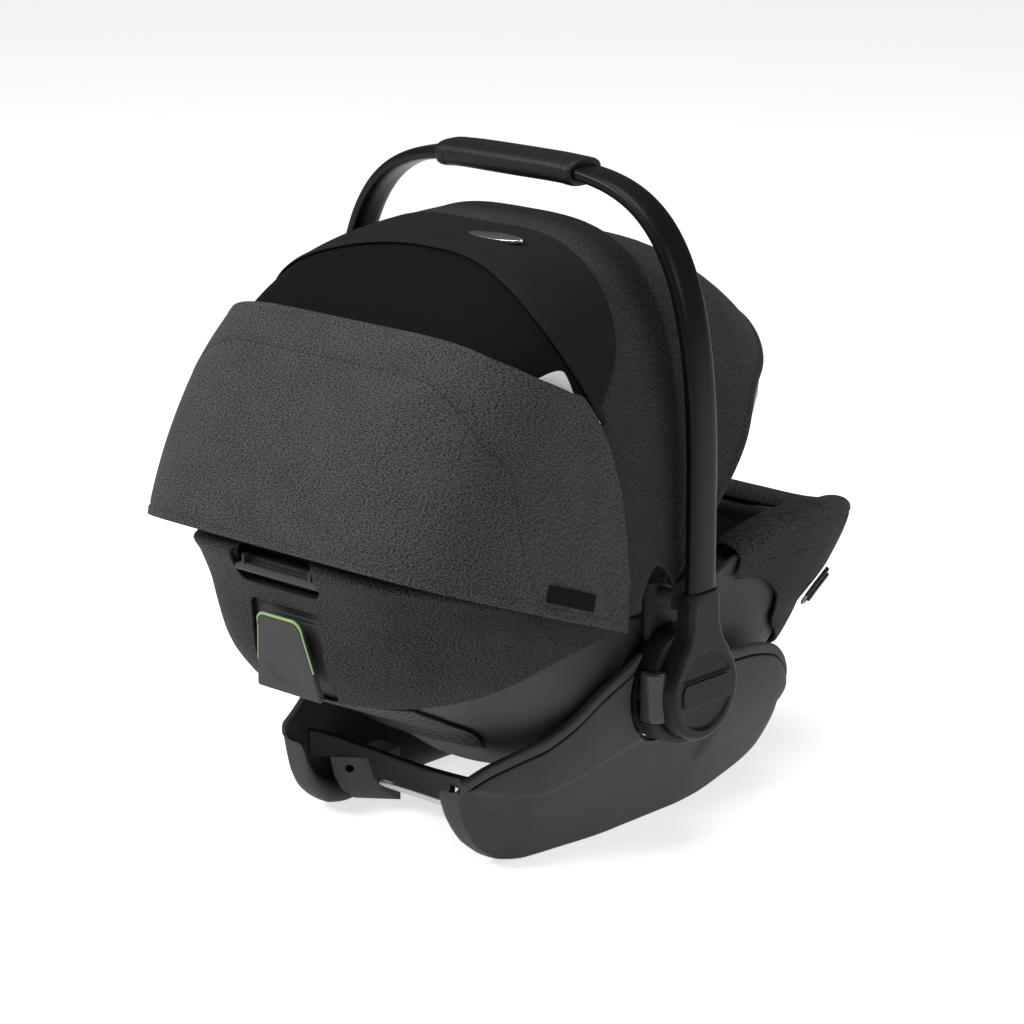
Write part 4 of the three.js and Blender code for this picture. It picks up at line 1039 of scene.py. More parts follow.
@dataclass
class Canopy:
    """Three curved sheets that share one axis: the back, the hood with its net window, and the visor."""

    back_radius: float = 322.0
    hem_radius: float = 317.0
    back_width: float = 200.0
    hem_width: float = 204.0
    hood_width: float = 193.0
    visor_radius: float = 303.0
    visor_width: float = 185.0
    top_edge: float = 36.0
    hood_front: float = -4.0
    hood_rear: float = 38.5
    visor_front: float = -46.0
    visor_rear: float = 2.0
    hem_height: float = 186.0
    hem_slope: float = 0.374
    reach: float = 0.9965
    cloth: float = 2.2
    back_front: Table = ((0, 38.3), (0.3, 38.0), (0.5, 36.2), (0.663, 32.3), (0.71, 30.2), (0.78, 29.9), (0.856, 30.8),
                         (0.9, 32.6), (0.926, 34.4), (0.945, 37.5), (0.963, 42.6), (0.975, 52), (0.983, 64), (0.985, 84))
    window_front: Table = ((0, 17.3), (0.04, 18.6), (0.16, 22.2),
                           (0.37, 25.6), (0.56, 26.9), (0.72, 27.3), (1, 27.5))
    panel_front: Table = ((0, 7), (0.1, 6.3), (0.24, 7.1), (0.4, 8.6), (0.53, 11.1), (0.63, 15.2), (0.72, 21.8),
                          (0.77, 26.4), (1, 26.6))
    axis: Array = field(default_factory=lambda: Frame.millimetres(Frame.canopy))

    def point(self, side: Array, angle: Array, radius: Array, width: Array) -> Array:
        """Point on the canopy: a superellipse arch that turns about the canopy's axis.

        Args:
            side: -1 at the left pivot, 0 at the top, 1 at the right pivot.
            angle: degrees from upright towards the head end.
            radius: reach of the arch's top from the axis.
            width: half width of the arch.
        Returns:
            Points in hub millimetres.
        """
        side, angle = np.broadcast_arrays(np.asarray(side, float), np.asarray(angle, float))
        exponent = 2 / mix(3.2, 5.2, smoothstep(angle, 0, self.top_edge))
        bend, turn = side * math.pi / 2, np.radians(angle)
        out = radius * np.abs(np.cos(bend)) ** exponent
        return np.stack([width * signed_power(np.sin(bend), exponent),
                         self.axis[1] + out * np.sin(turn), self.axis[2] + out * np.cos(turn)], -1)

    def back_point(self, side: Array, angle: Array, inset: float = 1.1) -> Array:
        """Middle of the back's cloth: wider and tighter towards the hem."""
        share = smoothstep(angle, self.top_edge, 76)
        return self.point(side, angle, mix(self.back_radius, self.hem_radius, share) - inset,
                          mix(self.back_width, self.hem_width, share) - inset)

    def hood_point(self, side: Array, angle: Array, inset: float = 1.1) -> Array:
        """Middle of the hood's cloth."""
        radius = 313.5 + 3 * (self.hood_rear - np.minimum(angle, self.hood_rear)) / \
                              (self.hood_rear - self.hood_front)
        return self.point(side, angle, radius - inset, self.hood_width - inset)

    def visor_point(self, side: Array, angle: Array, inset: float = 1.1) -> Array:
        """Middle of the visor's cloth."""
        return self.point(side, angle, self.visor_radius - inset, self.visor_width - inset)

    def back_edge(self, side: Array) -> Array:
        """Angle of the back's front edge: level over the top, ahead at the corners, then down each side."""
        return along(self.back_front, np.abs(side))

    def hem_angle(self, side: Array) -> Array:
        """Angle at which the back meets the hem's sloping plane, by halving the gap."""
        low, high = np.full(side.shape, 40.0), np.full(side.shape, 140.0)
        for _ in range(26):
            middle = (low + high) / 2
            p = self.back_point(side, middle)
            above = p[..., 2] > self.hem_height + self.hem_slope * p[..., 1]
            low, high = np.where(above, middle, low), np.where(above, high, middle)
        return low

    def binding_angle(self, side: Array) -> Array:
        """Angle of the tape between the plain cloth and the net window."""
        return along(self.window_front, np.abs(side))

    def panel_angle(self, side: Array) -> Array:
        """Angle of the seam between the plain cloth and the side panels: a wide D that ends at the window's corner."""
        return along(self.panel_front, np.abs(side))

    def outward(self, points: Array) -> Array:
        """Normals of a grid, turned away from the canopy's axis."""
        normals = grid_normals(points)
        away = points - np.array([0, self.axis[1], self.axis[2]])
        return normals * np.sign((normals * away).sum())

    def press(self, points: Array, path: Array, depth: float = 0.9, width: float = 1.3) -> Array:
        """Sews a seam into the cloth along a path: a narrow valley with faint puckers beside it."""
        d = distance_to_path(points, path)
        fall = depth * np.exp(-((d / width) ** 2)) + 0.22 * np.exp(-((d / 7) ** 2)) * ripple(points, 13, 7)
        return points - self.outward(points) * fall[..., None]

    def build_back(self) -> None:
        """Canopy back: folded top edge, a long curved seam and a double-stitched hem."""
        side = 0.985 * np.sin((edge_dense(230, 0.006) - 0.5) * math.pi)[None]
        t = edge_dense(110, 0.01)[:, None]
        edge, hem = self.back_edge(side), self.hem_angle(side)
        points = self.back_point(side, mix(edge, hem, t))
        arc_side = np.linspace(-0.93, 0.93, 160)
        arc = mix(45.0, 52.0, smoothstep(np.abs(arc_side), 0.1, 0.62)) + \
                  30 * smoothstep(np.abs(arc_side), 0.6, 0.93)
        points = self.press(points, self.back_point(arc_side, arc), 1.0, 1.4)
        line = np.linspace(-0.967, 0.967, 160)
        hem_line = self.offset_edge(line, 9.0)
        points = self.press(points, hem_line, 0.7, 1.0)
        sag = 1.6 * np.exp(-(((t - 0.62) / 0.3) ** 2)) * np.cos(side * math.pi / 2) ** 2
        soft = sag + 0.7 * ripple(points, 170, 21) * np.sin(t * math.pi)
        points = points - self.outward(points) * soft[..., None]
        d = edge_distance(points)
        fold = 0.55 * (1 - smoothstep(d, 7.5, 9.5))
        piece = skin("canopy_back", points, self.cloth, fold)
        dress(piece, Finish.FLAP, "seat", "fabric", "canopy_back")
        rows = [self.row("hem_stitches", self.offset_edge(line, 7.2)), self.row("arc_stitches",
                self.back_point(arc_side, arc + 0.55)), self.row("top_edge_stitches",
                self.back_point(np.linspace(-0.7, 0.7, 120), self.back_edge(np.linspace(-0.7, 0.7, 120)) + 1.3))]
        label = self.label()
        declare_sheet(points)

    def offset_edge(self, side: Array, lift: float) -> Array:
        """Line on the back that runs a set distance above the hem."""
        hem = self.hem_angle(side)
        p = self.back_point(side, hem)
        out = np.hypot(p[:, 1] - self.axis[1], p[:, 2] - self.axis[2])
        return self.back_point(side, hem - np.degrees(lift / np.maximum(out, 60)))

    def row(self, name: str, path: Array) -> bpy.types.Object:
        """Row of stitches on the back's outer face."""
        normal = unit((path - np.array([0, self.axis[1], self.axis[2]])) * np.array([1.6, 1, 1]))
        piece = stitches(name, path + normal * 1.3, normal)
        return dress(piece, Finish.THREAD, "seat", "fabric")

    def label(self) -> bpy.types.Object:
        """Plain woven label above the hem on the left side, with no words."""
        line = np.linspace(-0.85, -0.948, 40)
        low, high = self.offset_edge(line, 12.0), self.offset_edge(line, 27.0)
        t = edge_dense(6, 0.06)[:, None, None]
        grid = mix(low[None], high[None], t)
        grid = grid + self.outward(grid) * 1.9
        piece = skin("hem_label", grid, 0.7)
        return dress(piece, Finish.LABEL, "seat", "fabric")

    def build_hood(self) -> None:
        """Hood: plain band, melange side panels, net window, binding tape, corner tab and a plain trim bar."""
        side = mix(-self.reach, self.reach, edge_dense(220, 0.005))[None]
        t = edge_dense(70, 0.01)[:, None]
        wing = smoothstep(np.abs(side), 0.79, 0.9)
        rear = mix(self.binding_angle(side), 92.0, wing)
        points = self.hood_point(side, mix(self.hood_front, rear, t))
        line = np.linspace(-0.79, 0.79, 160)
        points = self.press(points, self.hood_point(line, self.panel_angle(line)), 0.9, 1.3)
        whole = np.linspace(-0.99, 0.99, 160)
        points = self.press(points, self.hood_point(whole, 0 * whole - 0.2), 0.8, 1.2)
        fold = 0.8 * (1 - smoothstep(edge_distance(points), 5, 7)) * (t < 0.5)
        piece = skin("hood_panel", points, self.cloth, fold)
        self.eyes(piece, self.hood_width)
        dress(piece, Finish.VISOR, "hood", "dark_fabric", "hood_panel")
        band = self.plain_band()
        binding = self.tape()
        extras = [band, binding, self.tab(), self.trim_bar()]
        declare_sheet(points)
        self.window()

    def plain_band(self) -> bpy.types.Object:
        """Plain dark cloth between the window's tape and the seam of the side panels."""
        side = mix(-0.786, 0.786, edge_dense(180, 0.006))[None]
        t = edge_dense(30, 0.02)[:, None]
        points = self.hood_point(side, mix(self.panel_angle(side) + 0.15, self.binding_angle(side), t), 0.0)
        points = points + self.outward(points) * 0.25
        piece = skin("hood_band", points, 0.9)
        dress(piece, Finish.HOOD, "hood", "dark_fabric")
        return piece

    def tape(self) -> bpy.types.Object:
        """Binding tape along the window's front edge."""
        side = np.linspace(-0.8, 0.8, 220)[None]
        t = edge_dense(8, 0.06)[:, None]
        angle = self.binding_angle(side) + mix(-0.9, 1.1, t)
        points = self.hood_point(side, angle, 0.0)
        points = points + self.outward(points) * (0.5 + 0.5 * np.sin(t * math.pi))[..., None]
        piece = skin("window_binding", points, 1.2)
        return dress(piece, Finish.BINDING, "hood", "dark_fabric")

    def window(self) -> None:
        """Net window: a thin, slightly slack net behind the tape."""
        side = mix(-0.785, 0.785, edge_dense(160, 0.006))[None]
        t = edge_dense(50, 0.01)[:, None]
        points = self.hood_point(side, mix(self.binding_angle(side) + 0.3, 42.0, t), 1.6)
        slack = 1.8 * np.sin(t * math.pi) * np.cos(side * 1.9) ** 2
        points = points - self.outward(points) * np.maximum(slack, 0)[..., None]
        piece = skin("hood_window", points, 0.9)
        dress(piece, Finish.NET, "hood", "mesh_cloth", "hood_window")
        declare_sheet(points)

    def tab(self) -> bpy.types.Object:
        """Pale tab sewn in at the window's left corner."""
        s, a = np.meshgrid(np.linspace(0.5, 0.685, 40), np.linspace(0, 1, 12))
        top = along(((0.5, 38.5), (0.52, 36.2), (0.594, 29.8), (0.68, 30.9)), s)
        points = self.hood_point(-s, mix(top, 43.0, a), 0.0)
        points = points + self.outward(points) * 0.4
        piece = skin("window_tab", points, 0.6)
        return dress(piece, Finish.PALE, "hood", "dark_fabric")

    def trim_bar(self) -> bpy.types.Object:
        """Plain bright bar on top of the hood, a long flat oval with no mark."""
        middle = self.hood_point(np.array([-0.045]), np.array([12.5]), 0.0)[0]
        ahead = self.hood_point(np.array([-0.045]), np.array([13.5]), 0.0)[0] - middle
        plane = Plane(tuple(middle + np.array([0, 0.4, 1.6])), (1, 0, -0.02), tuple(-ahead))
        piece = plate("hood_trim_bar", plane, oval(62, 13, 64, 1.0), 2.0, -1.6, 1.2, 0.4)
        return dress(piece, Finish.METAL, "hood", "shell_plastic")

    def eyes(self, piece: bpy.types.Object, width: float) -> None:
        """Opens the cloth round the canopy's two pivot pins."""
        hole = lathe_x("cutter", [(0, -width - 20), (9.4, -width - 20), (9.4, width + 20), (0, width + 20)],
                       self.axis[1], self.axis[2], 40)
        carve(piece, hole, crease=60)

    def build_visor(self) -> None:
        """Visor: bulged cloth with a rolled front edge and soft tucks near the pivots."""
        side = mix(-self.reach, self.reach, edge_dense(220, 0.005))[None]
        t = edge_dense(90, 0.01)[:, None]
        front = self.visor_front + 3 * np.exp(-(((np.abs(side) - 0.63) / 0.1) ** 2))
        angle = mix(self.visor_rear, front, t)
        points = self.visor_point(side, angle)
        line = np.linspace(-0.99, 0.99, 160)
        points = self.press(points, self.visor_point(line, 0 * line - 21), 0.9, 1.4)
        fan = np.abs(np.cos(side * math.pi / 2)) ** 0.6
        tucks = 1.3 * np.sin(np.radians(angle) * 17) * smoothstep(np.abs(side), 0.5, 0.9) * fan
        bulge = 2.2 * np.sin(np.clip(t, 0, 1) * math.pi) * np.cos(side * math.pi / 2) ** 1
        points = points + self.outward(points) * (tucks * 0.6 - 1.0 + bulge * \
                                       0.5 + 0.6 * ripple(points, 130, 9))[..., None]
        roll = 1.6 * (1 - smoothstep(edge_distance(points), 6, 9)) * (t > 0.5)
        piece = skin("visor_panel", points, self.cloth, roll)
        self.eyes(piece, self.visor_width)
        dress(piece, Finish.VISOR, "visor", "fabric", "visor_panel")
        declare_sheet(points)

    def build(self) -> None:
        """All of the canopy."""
        self.build_back()
        self.build_hood()
        self.build_visor()


# ---------------------------------------------------------------- handle


@dataclass
class Handle:
    """Carry handle: an oval arch, its leather grip, and a fitting with a hub at each end."""

    half_width: float = 213.5
    top: float = 588.0
    straight: float = 330.0
    flat: float = 40.0
    foot: float = 206.0
    depth: float = 34.0
    thick: float = 13.0
    grip_half: float = 80.0
    hub_height: float = 149.0
    hub_radius: float = 53.0
    hub_inner: float = 178.5
    hub_outer: float = 204.0
    end_inner: float = 204.3
    end_outer: float = 222.0
    end_radius: float = 45.0
    neck_top: float = 238.0

    def line(self, count: int = 420) -> Array:
        """Middle line of the arch: straight uprights, a cubic Bezier shoulder on each side and a straight top."""
        t = np.linspace(0, 1, 200)[:, None]
        a = np.array([[self.half_width, 0, self.straight]])
        d = np.array([[self.flat, 0, self.top]])
        b = np.array([[self.half_width, 0, mix(self.straight, self.top, 0.9)]])
        c = np.array([[mix(self.flat, self.half_width, 0.62), 0, self.top]])
        bend = a * (1 - t) ** 3 + 3 * b * t * (1 - t) ** 2 + 3 * c * t**2 * (1 - t) + d * t**3
        right = np.concatenate([[[self.half_width, 0, self.foot]], bend])
        left = right[::-1] * np.array([-1, 1, 1])
        return resample(np.concatenate([right, left]), count)

    def arch(self) -> None:
        """Arch: a squared oval swept along the arch's middle line."""
        section = oval(self.thick, self.depth, 48, 0.62)
        piece = sweep("handle_arch", self.line(), section, (0, 1, 0), None, 50)
        dress(piece, Finish.HANDLE, "handle", "handle_metal", "handle_arch")

    def grip(self) -> None:
        """Leather sleeve round the top, fuller in the middle, with turned ends and a sewn seam underneath."""
        line = self.line(1200)
        length = np.concatenate([[0], np.cumsum(np.linalg.norm(np.diff(line, axis=0), axis=1))])
        s = length - length[-1] / 2
        path = line[np.abs(s) <= self.grip_half]
        s = s[np.abs(s) <= self.grip_half]
        end = np.clip((self.grip_half - np.abs(s)) / 3.0, 0, 1)
        size = np.sqrt(np.maximum(0.0, 1 - (1 - end) ** 2)) * 0.14 + 0.86
        size = size + 0.035 * np.cos(s / self.grip_half * math.pi / 2) + 0.02 * \
                                     (np.abs(np.abs(s) - self.grip_half + 7) < 3.5)
        piece = sweep("handle_grip", path, oval(23.5, 43, 48, 0.72), (0, 1, 0), size)
        dress(piece, Finish.LEATHER, "handle", "leather", "handle_grip")
        under = path[20:-20] + np.array([0, 0, -12.2])
        row = stitches("grip_stitches", under, np.broadcast_to(
            np.array([0, 0, -1.0]), under.shape), 4.2, 3.0, 0.8)
        dress(row, Finish.THREAD, "handle", "leather")

    def fitting_outline(self) -> Array:
        """Round shield with a flared neck on top, seen from the side."""
        half, radius = 19.5, self.end_radius
        z = np.array([self.neck_top, 224, 212, 204, 197, 190, 184, 178]) - self.hub_height
        y = np.array([half, half, half + 0.4, half + 1.6, half + 3.8, half + 7.6, half + 12.5, half + 18.6])
        start = np.arctan2(z[-1], y[-1])
        arc = np.linspace(start, -math.pi - start, 110)
        circle = radius * np.stack([np.cos(arc), np.sin(arc)], 1)
        right = np.stack([y, z], 1)
        left = right[::-1] * np.array([-1, 1])
        corner = np.array([[half - 1.5, z[0] + 0.0]])
        return np.concatenate([corner, right[1:-1], circle, left[1:-1], corner * np.array([-1, 1])])

    def side(self, side: Side) -> None:
        """Hub, button, end fitting and plate of one side."""
        sign = side.value
        out = (sign * self.end_inner, 0.0, self.hub_height)
        plane = Plane(out, (0, sign, 0), (0, 0, 1))
        thick = self.end_outer - self.end_inner

        def recess(flat: Array) -> Array:
            """Two crescents sunk above and below a level band, and a dished middle."""
            r = np.linalg.norm(flat, axis=-1)
            inside = 1 - smoothstep(r, 33.0, 36.5)
            clear = smoothstep(np.abs(flat[..., 1]), 12.0, 14.5)
            return -2.6 * inside * clear * (0.55 + 0.45 * smoothstep(np.abs(flat[..., 1]), 14, 34))

        fitting = plate("handle_end_" + side.suffix, plane, self.fitting_outline(), thick, 0.0, 5.0, 0.8, recess, 60,
                        count=300)
        dress(fitting, Finish.HUB, "handle", "handle_metal", "handle_end_" + side.suffix)
        collar = sweep("handle_collar_" + side.suffix,
                       np.array([[sign * self.half_width, 0, z]
                                for z in (self.neck_top - 5, self.neck_top - 1.2, self.neck_top)]),
                       oval(self.thick + 5, self.depth + 5, 48, 0.62), (0, 1, 0), np.array([1, 1, 0.965]))
        dress(collar, Finish.HUB, "handle", "handle_metal")
        r, low, high = self.hub_radius, self.hub_inner, self.hub_outer
        profile = [(0, low), (r - 2, low), (r - 0.6, low + 0.6), (r, low + 2), (r, high - 4), (r - 0.7, high - 1.6),
                   (r - 2.2, high - 0.4), (r - 4, high), (self.end_radius + \
                    1.5, high), (self.end_radius + 0.8, high - 0.8),
                   (0, high - 0.8)]
        hub = lathe_x("handle_hub_" + side.suffix, [(a, sign * b)
                      for a, b in profile], 0, self.hub_height, 144)
        pocket = plate("cutter", Plane((sign * 200.0, 46, self.hub_height), (0, sign, 0), (0, 0, 1)),
                       round_box(25, 49, 4), 30, -13.5, 0.3, 0.3)
        carve(hub, pocket)
        dress(hub, Finish.HUB, "handle", "handle_metal", "handle_hub_" + side.suffix)
        self.button(side)
        band = plate("hub_plate_" + side.suffix, Plane((sign * self.end_outer, 0, self.hub_height), (0, sign, 0), (0, 0, 1)),
                     round_box(64, 22, 7), 1.5, 0.1, 0.7, 0.2)
        dress(band, Finish.HANDLE, "handle", "base_plastic", "hub_plate_" + side.suffix)

    def button(self, side: Side) -> None:
        """Release button: two facets that meet along an upright ridge, with rounded ends."""
        section = np.array([[189, 38.3], [209.5, 38.3], [211, 41], [211.2, 44], [207.5, 50.5], [205.5, 52.6], [200, 53],
                            [189, 53]], float)
        section = rounded(section, 2)
        low, high = 127.5, 172.5
        t = np.concatenate([np.array([0, 0.25, 0.6, 1.0]) * 3, np.linspace(4, high - low - 4, 20),
                            high - low - np.array([1.0, 0.6, 0.25, 0]) * 3])
        end = np.minimum(t, high - low - t) / 3
        shrink = 1 - 0.16 * (1 - np.sqrt(np.maximum(0, 1 - (1 - np.clip(end, 0, 1)) ** 2)))
        middle = section.mean(0)
        rings = middle + (section - middle)[None] * shrink[:, None, None]
        points = np.stack([rings[..., 0], rings[..., 1], np.broadcast_to(
            (low + t)[:, None], rings.shape[:2])], -1)
        piece = loft("hub_button_" + side.suffix, mirror(points, side), 30)
        dress(piece, Finish.BUTTON, "hub_button_" + side.suffix, "button_grey", "hub_button_" + side.suffix)

    def build(self) -> None:
        """All of the handle."""
        self.arch()
        self.grip()
        for side in Side:
            self.side(side)


# ---------------------------------------------------------------- base


@dataclass
class Base:
    """Rocking base: a runner, a side cover and a rear cap on each side, and the members that join them."""

    wall: float = 5.0
    bar: float = 24.0
    bar_height: float = 20.0
    cover_out: float = 3.4
    keel_z: Table = ((-232, 48), (-224, 33), (-205, 19), (-150, 6), (-100, 0), (115, 0), (145, 5), (170, 22),
                     (184, 44), (192, 70))
    keel_x: Table = ((-232, 110), (-200, 116), (-120, 124), (-60, 130),
                     (20, 130), (90, 122), (140, 114), (192, 106))
    lip_z: Table = ((-232, 62), (-205, 86), (-190, 106), (-170, 130), (-143, 149), (-106, 158), (-72, 161), (-38, 178),
                    (0, 192), (38, 188), (60, 175), (83, 159), (101, 138), (124, 119), (139, 109), (170, 97), (192, 88))
    lip_x: Table = ((-232, 114), (-200, 148), (-180, 166), (-150, 178), (-106, 184), (0, 187), (38, 185), (60, 180),
                    (83, 172), (101, 160), (124, 145), (139, 130), (170, 115), (192, 109))
    skirt_z: Table = ((-184, 88), (-160, 76), (-118, 62), (-75, 55), (0, 48), (120, 45), (160, 55), (182, 78))
    crease_z: Table = ((-40, 108), (6, 104), (24, 101), (60, 92), (99, 76), (132, 66), (181, 78), (200, 88))
    rear_band: Tuple[Tuple[float, float, float], ...] = (
        (-96, 172, 84), (-84, 152, 76), (-60, 136, 66), (0, 128, 60), (60, 136, 66), (84, 152, 76), (96, 172, 84))

    def point(self, y: Array, share: Array, out: Array) -> Array:
        """Point on a runner's outer face, right side.

        Args:
            y: station along the seat.
            share: 0 at the keel and 1 at the lip; X swells with the sine of a quarter turn.
            out: distance outward from the face.
        Returns:
            Points in hub millimetres.
        """
        y, share, out = np.broadcast_arrays(
    np.asarray(
        y, float), np.asarray(
            share, float), np.asarray(
                out, float))
        x = mix(along(self.keel_x, y), along(self.lip_x, y), np.sin(share * math.pi / 2)) + out
        return np.stack([x, y, mix(along(self.keel_z, y), along(self.lip_z, y), share)], -1)

    def hub_hole(self, radius: float, side: Side) -> bpy.types.Object:
        """Round cutter about the handle's axis."""
        ends = [(0, 120), (radius, 120), (radius, 240), (0, 240)]
        return lathe_x("cutter", [(r, side.value * x) for r, x in ends], 0, 149.0, 96)

    def runner(self, side: Side) -> None:
        """Runner: outer wall, rounded double lip, inner wall and a flat bar to stand on, rounded at both ends."""
        y = np.concatenate([-231.5 + np.array([0, 0.4, 1.4, 3.0, 5.5]), np.linspace(-224, 184, 120),
                            191.5 - np.array([5.5, 3.0, 1.4, 0.4, 0])])
        high, low = along(self.lip_z, y), along(self.keel_z, y)
        tall = high - low
        share = np.array([0, 0.04, 0.1, 0.2, 0.35, 0.5, 0.65, 0.78, 0.88])[None]
        outer = self.point(y[:, None], share, 0.0)
        top = [(-15.0, 0.0), (-10.5, 0.3), (-9.8, 3.4), (-8.0, 4.4), (-3.0, 4.6), (-0.8, 3.9), (0.0, 2.0), (-0.4, -2.5),
               (-3.0, -4.6), (-9.0, -5.2)]
        lip = []
        for drop, out in top:
            at = 1 + drop / np.maximum(tall, 24)
            lip.append(self.point(y, at, out * np.minimum(1, tall / 40)))
        bar = np.minimum(self.bar_height, tall * 0.4) / tall
        inner = [self.point(y, np.full_like(y, 0.6), -self.wall),
                            self.point(y, np.maximum(0.3, bar), -self.wall - 1)]
        inside = self.point(y, np.zeros_like(y), -self.bar)
        shelf = inside.copy()
        shelf[:, 2] = mix(low, high, bar)
        rings = np.concatenate([outer, np.stack(lip, 1), np.stack(inner + [shelf, inside], 1)], 1)
        for _ in range(2):
            after = np.roll(rings, -1, axis=1)
            rings = np.stack([rings * 0.75 + after * 0.25, rings * 0.25 + \
                             after * 0.75], 2).reshape(len(y), -1, 3)
        end = np.minimum(y + 231.5, 191.5 - y)
        shrink = 1 - 0.12 * (1 - np.sqrt(np.maximum(0, 1 - (1 - np.clip(end / 5.5, 0, 1)) ** 2)))
        middle = rings.mean(1, keepdims=True)
        rings = middle + (rings - middle) * shrink[:, None, None]
        rings[..., 2] = np.maximum(rings[..., 2], 0)
        piece = loft("runner_" + side.suffix, mirror(rings, side), 42)
        carve(piece, self.hub_hole(57.5, side), crease=42)
        dress(piece, Finish.BASE, "seat", "base_plastic", "runner_" + side.suffix)

    def side_cover(self, side: Side) -> None:
        """Side cover: a full upper panel that steps down along a curved crease to a hollow leaf, and a groove under the hub."""
        u, v = edge_dense(170, 0.006)[None], edge_dense(56, 0.02)[:, None]
        y = mix(-184.0, 187.0, u)
        low, high = along(self.keel_z, y), along(self.lip_z, y)
        start = (along(self.skirt_z, y) - low) / (high - low)
        stop = 1 - 11.5 / np.maximum(high - low, 24)
        points = self.point(y, mix(start, stop, v), self.cover_out - 1.2)
        step = smoothstep(points[..., 2] - along(self.crease_z, points[..., 1]), -2.5, 3.5)
        behind = smoothstep(points[..., 1], -72, -52)
        leaf = behind * (1 - step)
        groove = np.exp(-(((points[..., 1] + 62 + 0.35 * (points[..., 2] - 75)) / 7.5) ** 2))
        groove = groove * (1 - smoothstep(points[..., 2], 92, 112))
        swell = 1.6 * np.sin(np.clip(v, 0, 1) * math.pi)
        out = swell - 3.6 * leaf - 3.4 * groove
        points = points + np.array([1.0, 0, 0]) * out[..., None]
        piece = skin("side_cover_" + side.suffix, mirror(points, side), 3.2)
        carve(piece, self.hub_hole(56.3, side), crease=42)
        dress(piece, Finish.BASE, "seat", "base_plastic", "side_cover_" + side.suffix)

    def rear_member(self) -> None:
        """Band that joins the runners' rear ends in a shallow U, with a bead along its upper edge."""
        path = rounded(np.array(self.rear_band, float), 5, False)
        path = resample(path, 160)
        floor = np.where(np.abs(path[:, 0]) > 46, 56.4, 0.0)
        drop = np.minimum(24.0, path[:, 2] - floor)
        tangent = unit(np.gradient(path * np.array([1, 1, 0]), axis=0))
        side = np.cross(tangent, [0, 0, 1.0])
        outline = np.array([[-3, 0], [-3.9, -1], [-4, -4], [-3, -5.5], [-3, -1e3], [3, -1e3], [3, -5.5], [4, -4], [3.9, -1],
                            [3, 0]], float)
        height = np.where(outline[:, 1] < -100, -drop[:, None],
                          np.maximum(outline[None, :, 1], -drop[:, None]))
        rings = path[:, None] + side[:, None] * outline[None, :, :1] + \
            np.array([0, 0, 1.0]) * height[..., None]
        piece = loft("rear_crossmember", rings, 40)
        dress(piece, Finish.BASE_DARK, "seat", "base_plastic", "rear_crossmember")

    def screws(self, side: Side) -> None:
        """Cross-headed screw set deep in each rear cap."""
        tilt = math.atan2(39.0, 53.0)
        out = (math.sin(tilt) * side.value, math.cos(tilt), 0.0)
        across = (math.cos(tilt) * side.value, -math.sin(tilt), 0.0)
        middle = (74.0 * side.value, 142.0, 44.0)
        flip = side.value
        plane = Plane(tuple(np.array(middle) - 6 * np.array(out)), tuple(-flip * np.array(across)), (0, 0, 1))

        def cross(flat: Array) -> Array:
            """Recess of a cross head."""
            arm = np.minimum(np.abs(flat[..., 0]), np.abs(flat[..., 1]))
            far = np.linalg.norm(flat, axis=-1)
            return -0.9 * (1 - smoothstep(arm, 0.4, 0.7)) * (1 - smoothstep(far, 2.0, 2.6))

        piece = plate(
    "cap_screw_" +
    side.suffix,
    plane,
    oval(
        7.6,
        7.6,
        40,
        1.0),
        2.0,
        0.0,
        1.0,
        0.3,
        cross,
         30)
        dress(piece, Finish.STEEL, "seat", "steel")

    def build(self) -> None:
        """All of the base."""
        for side in Side:
            self.runner(side)
            self.side_cover(side)
            self.screws(side)
        self.rear_member()


# ---------------------------------------------------------------- head end and foot end fittings


def depth_in_box(flat: Array, width: float, height: float, corner: float) -> Array:
    """Signed distance from places in a face to a rectangle with round corners, below zero inside."""
    q = np.abs(flat) - np.array([width / 2 - corner, height / 2 - corner])
    return np.linalg.norm(np.maximum(q, 0), axis=-1) + np.minimum(q.max(-1), 0) - corner


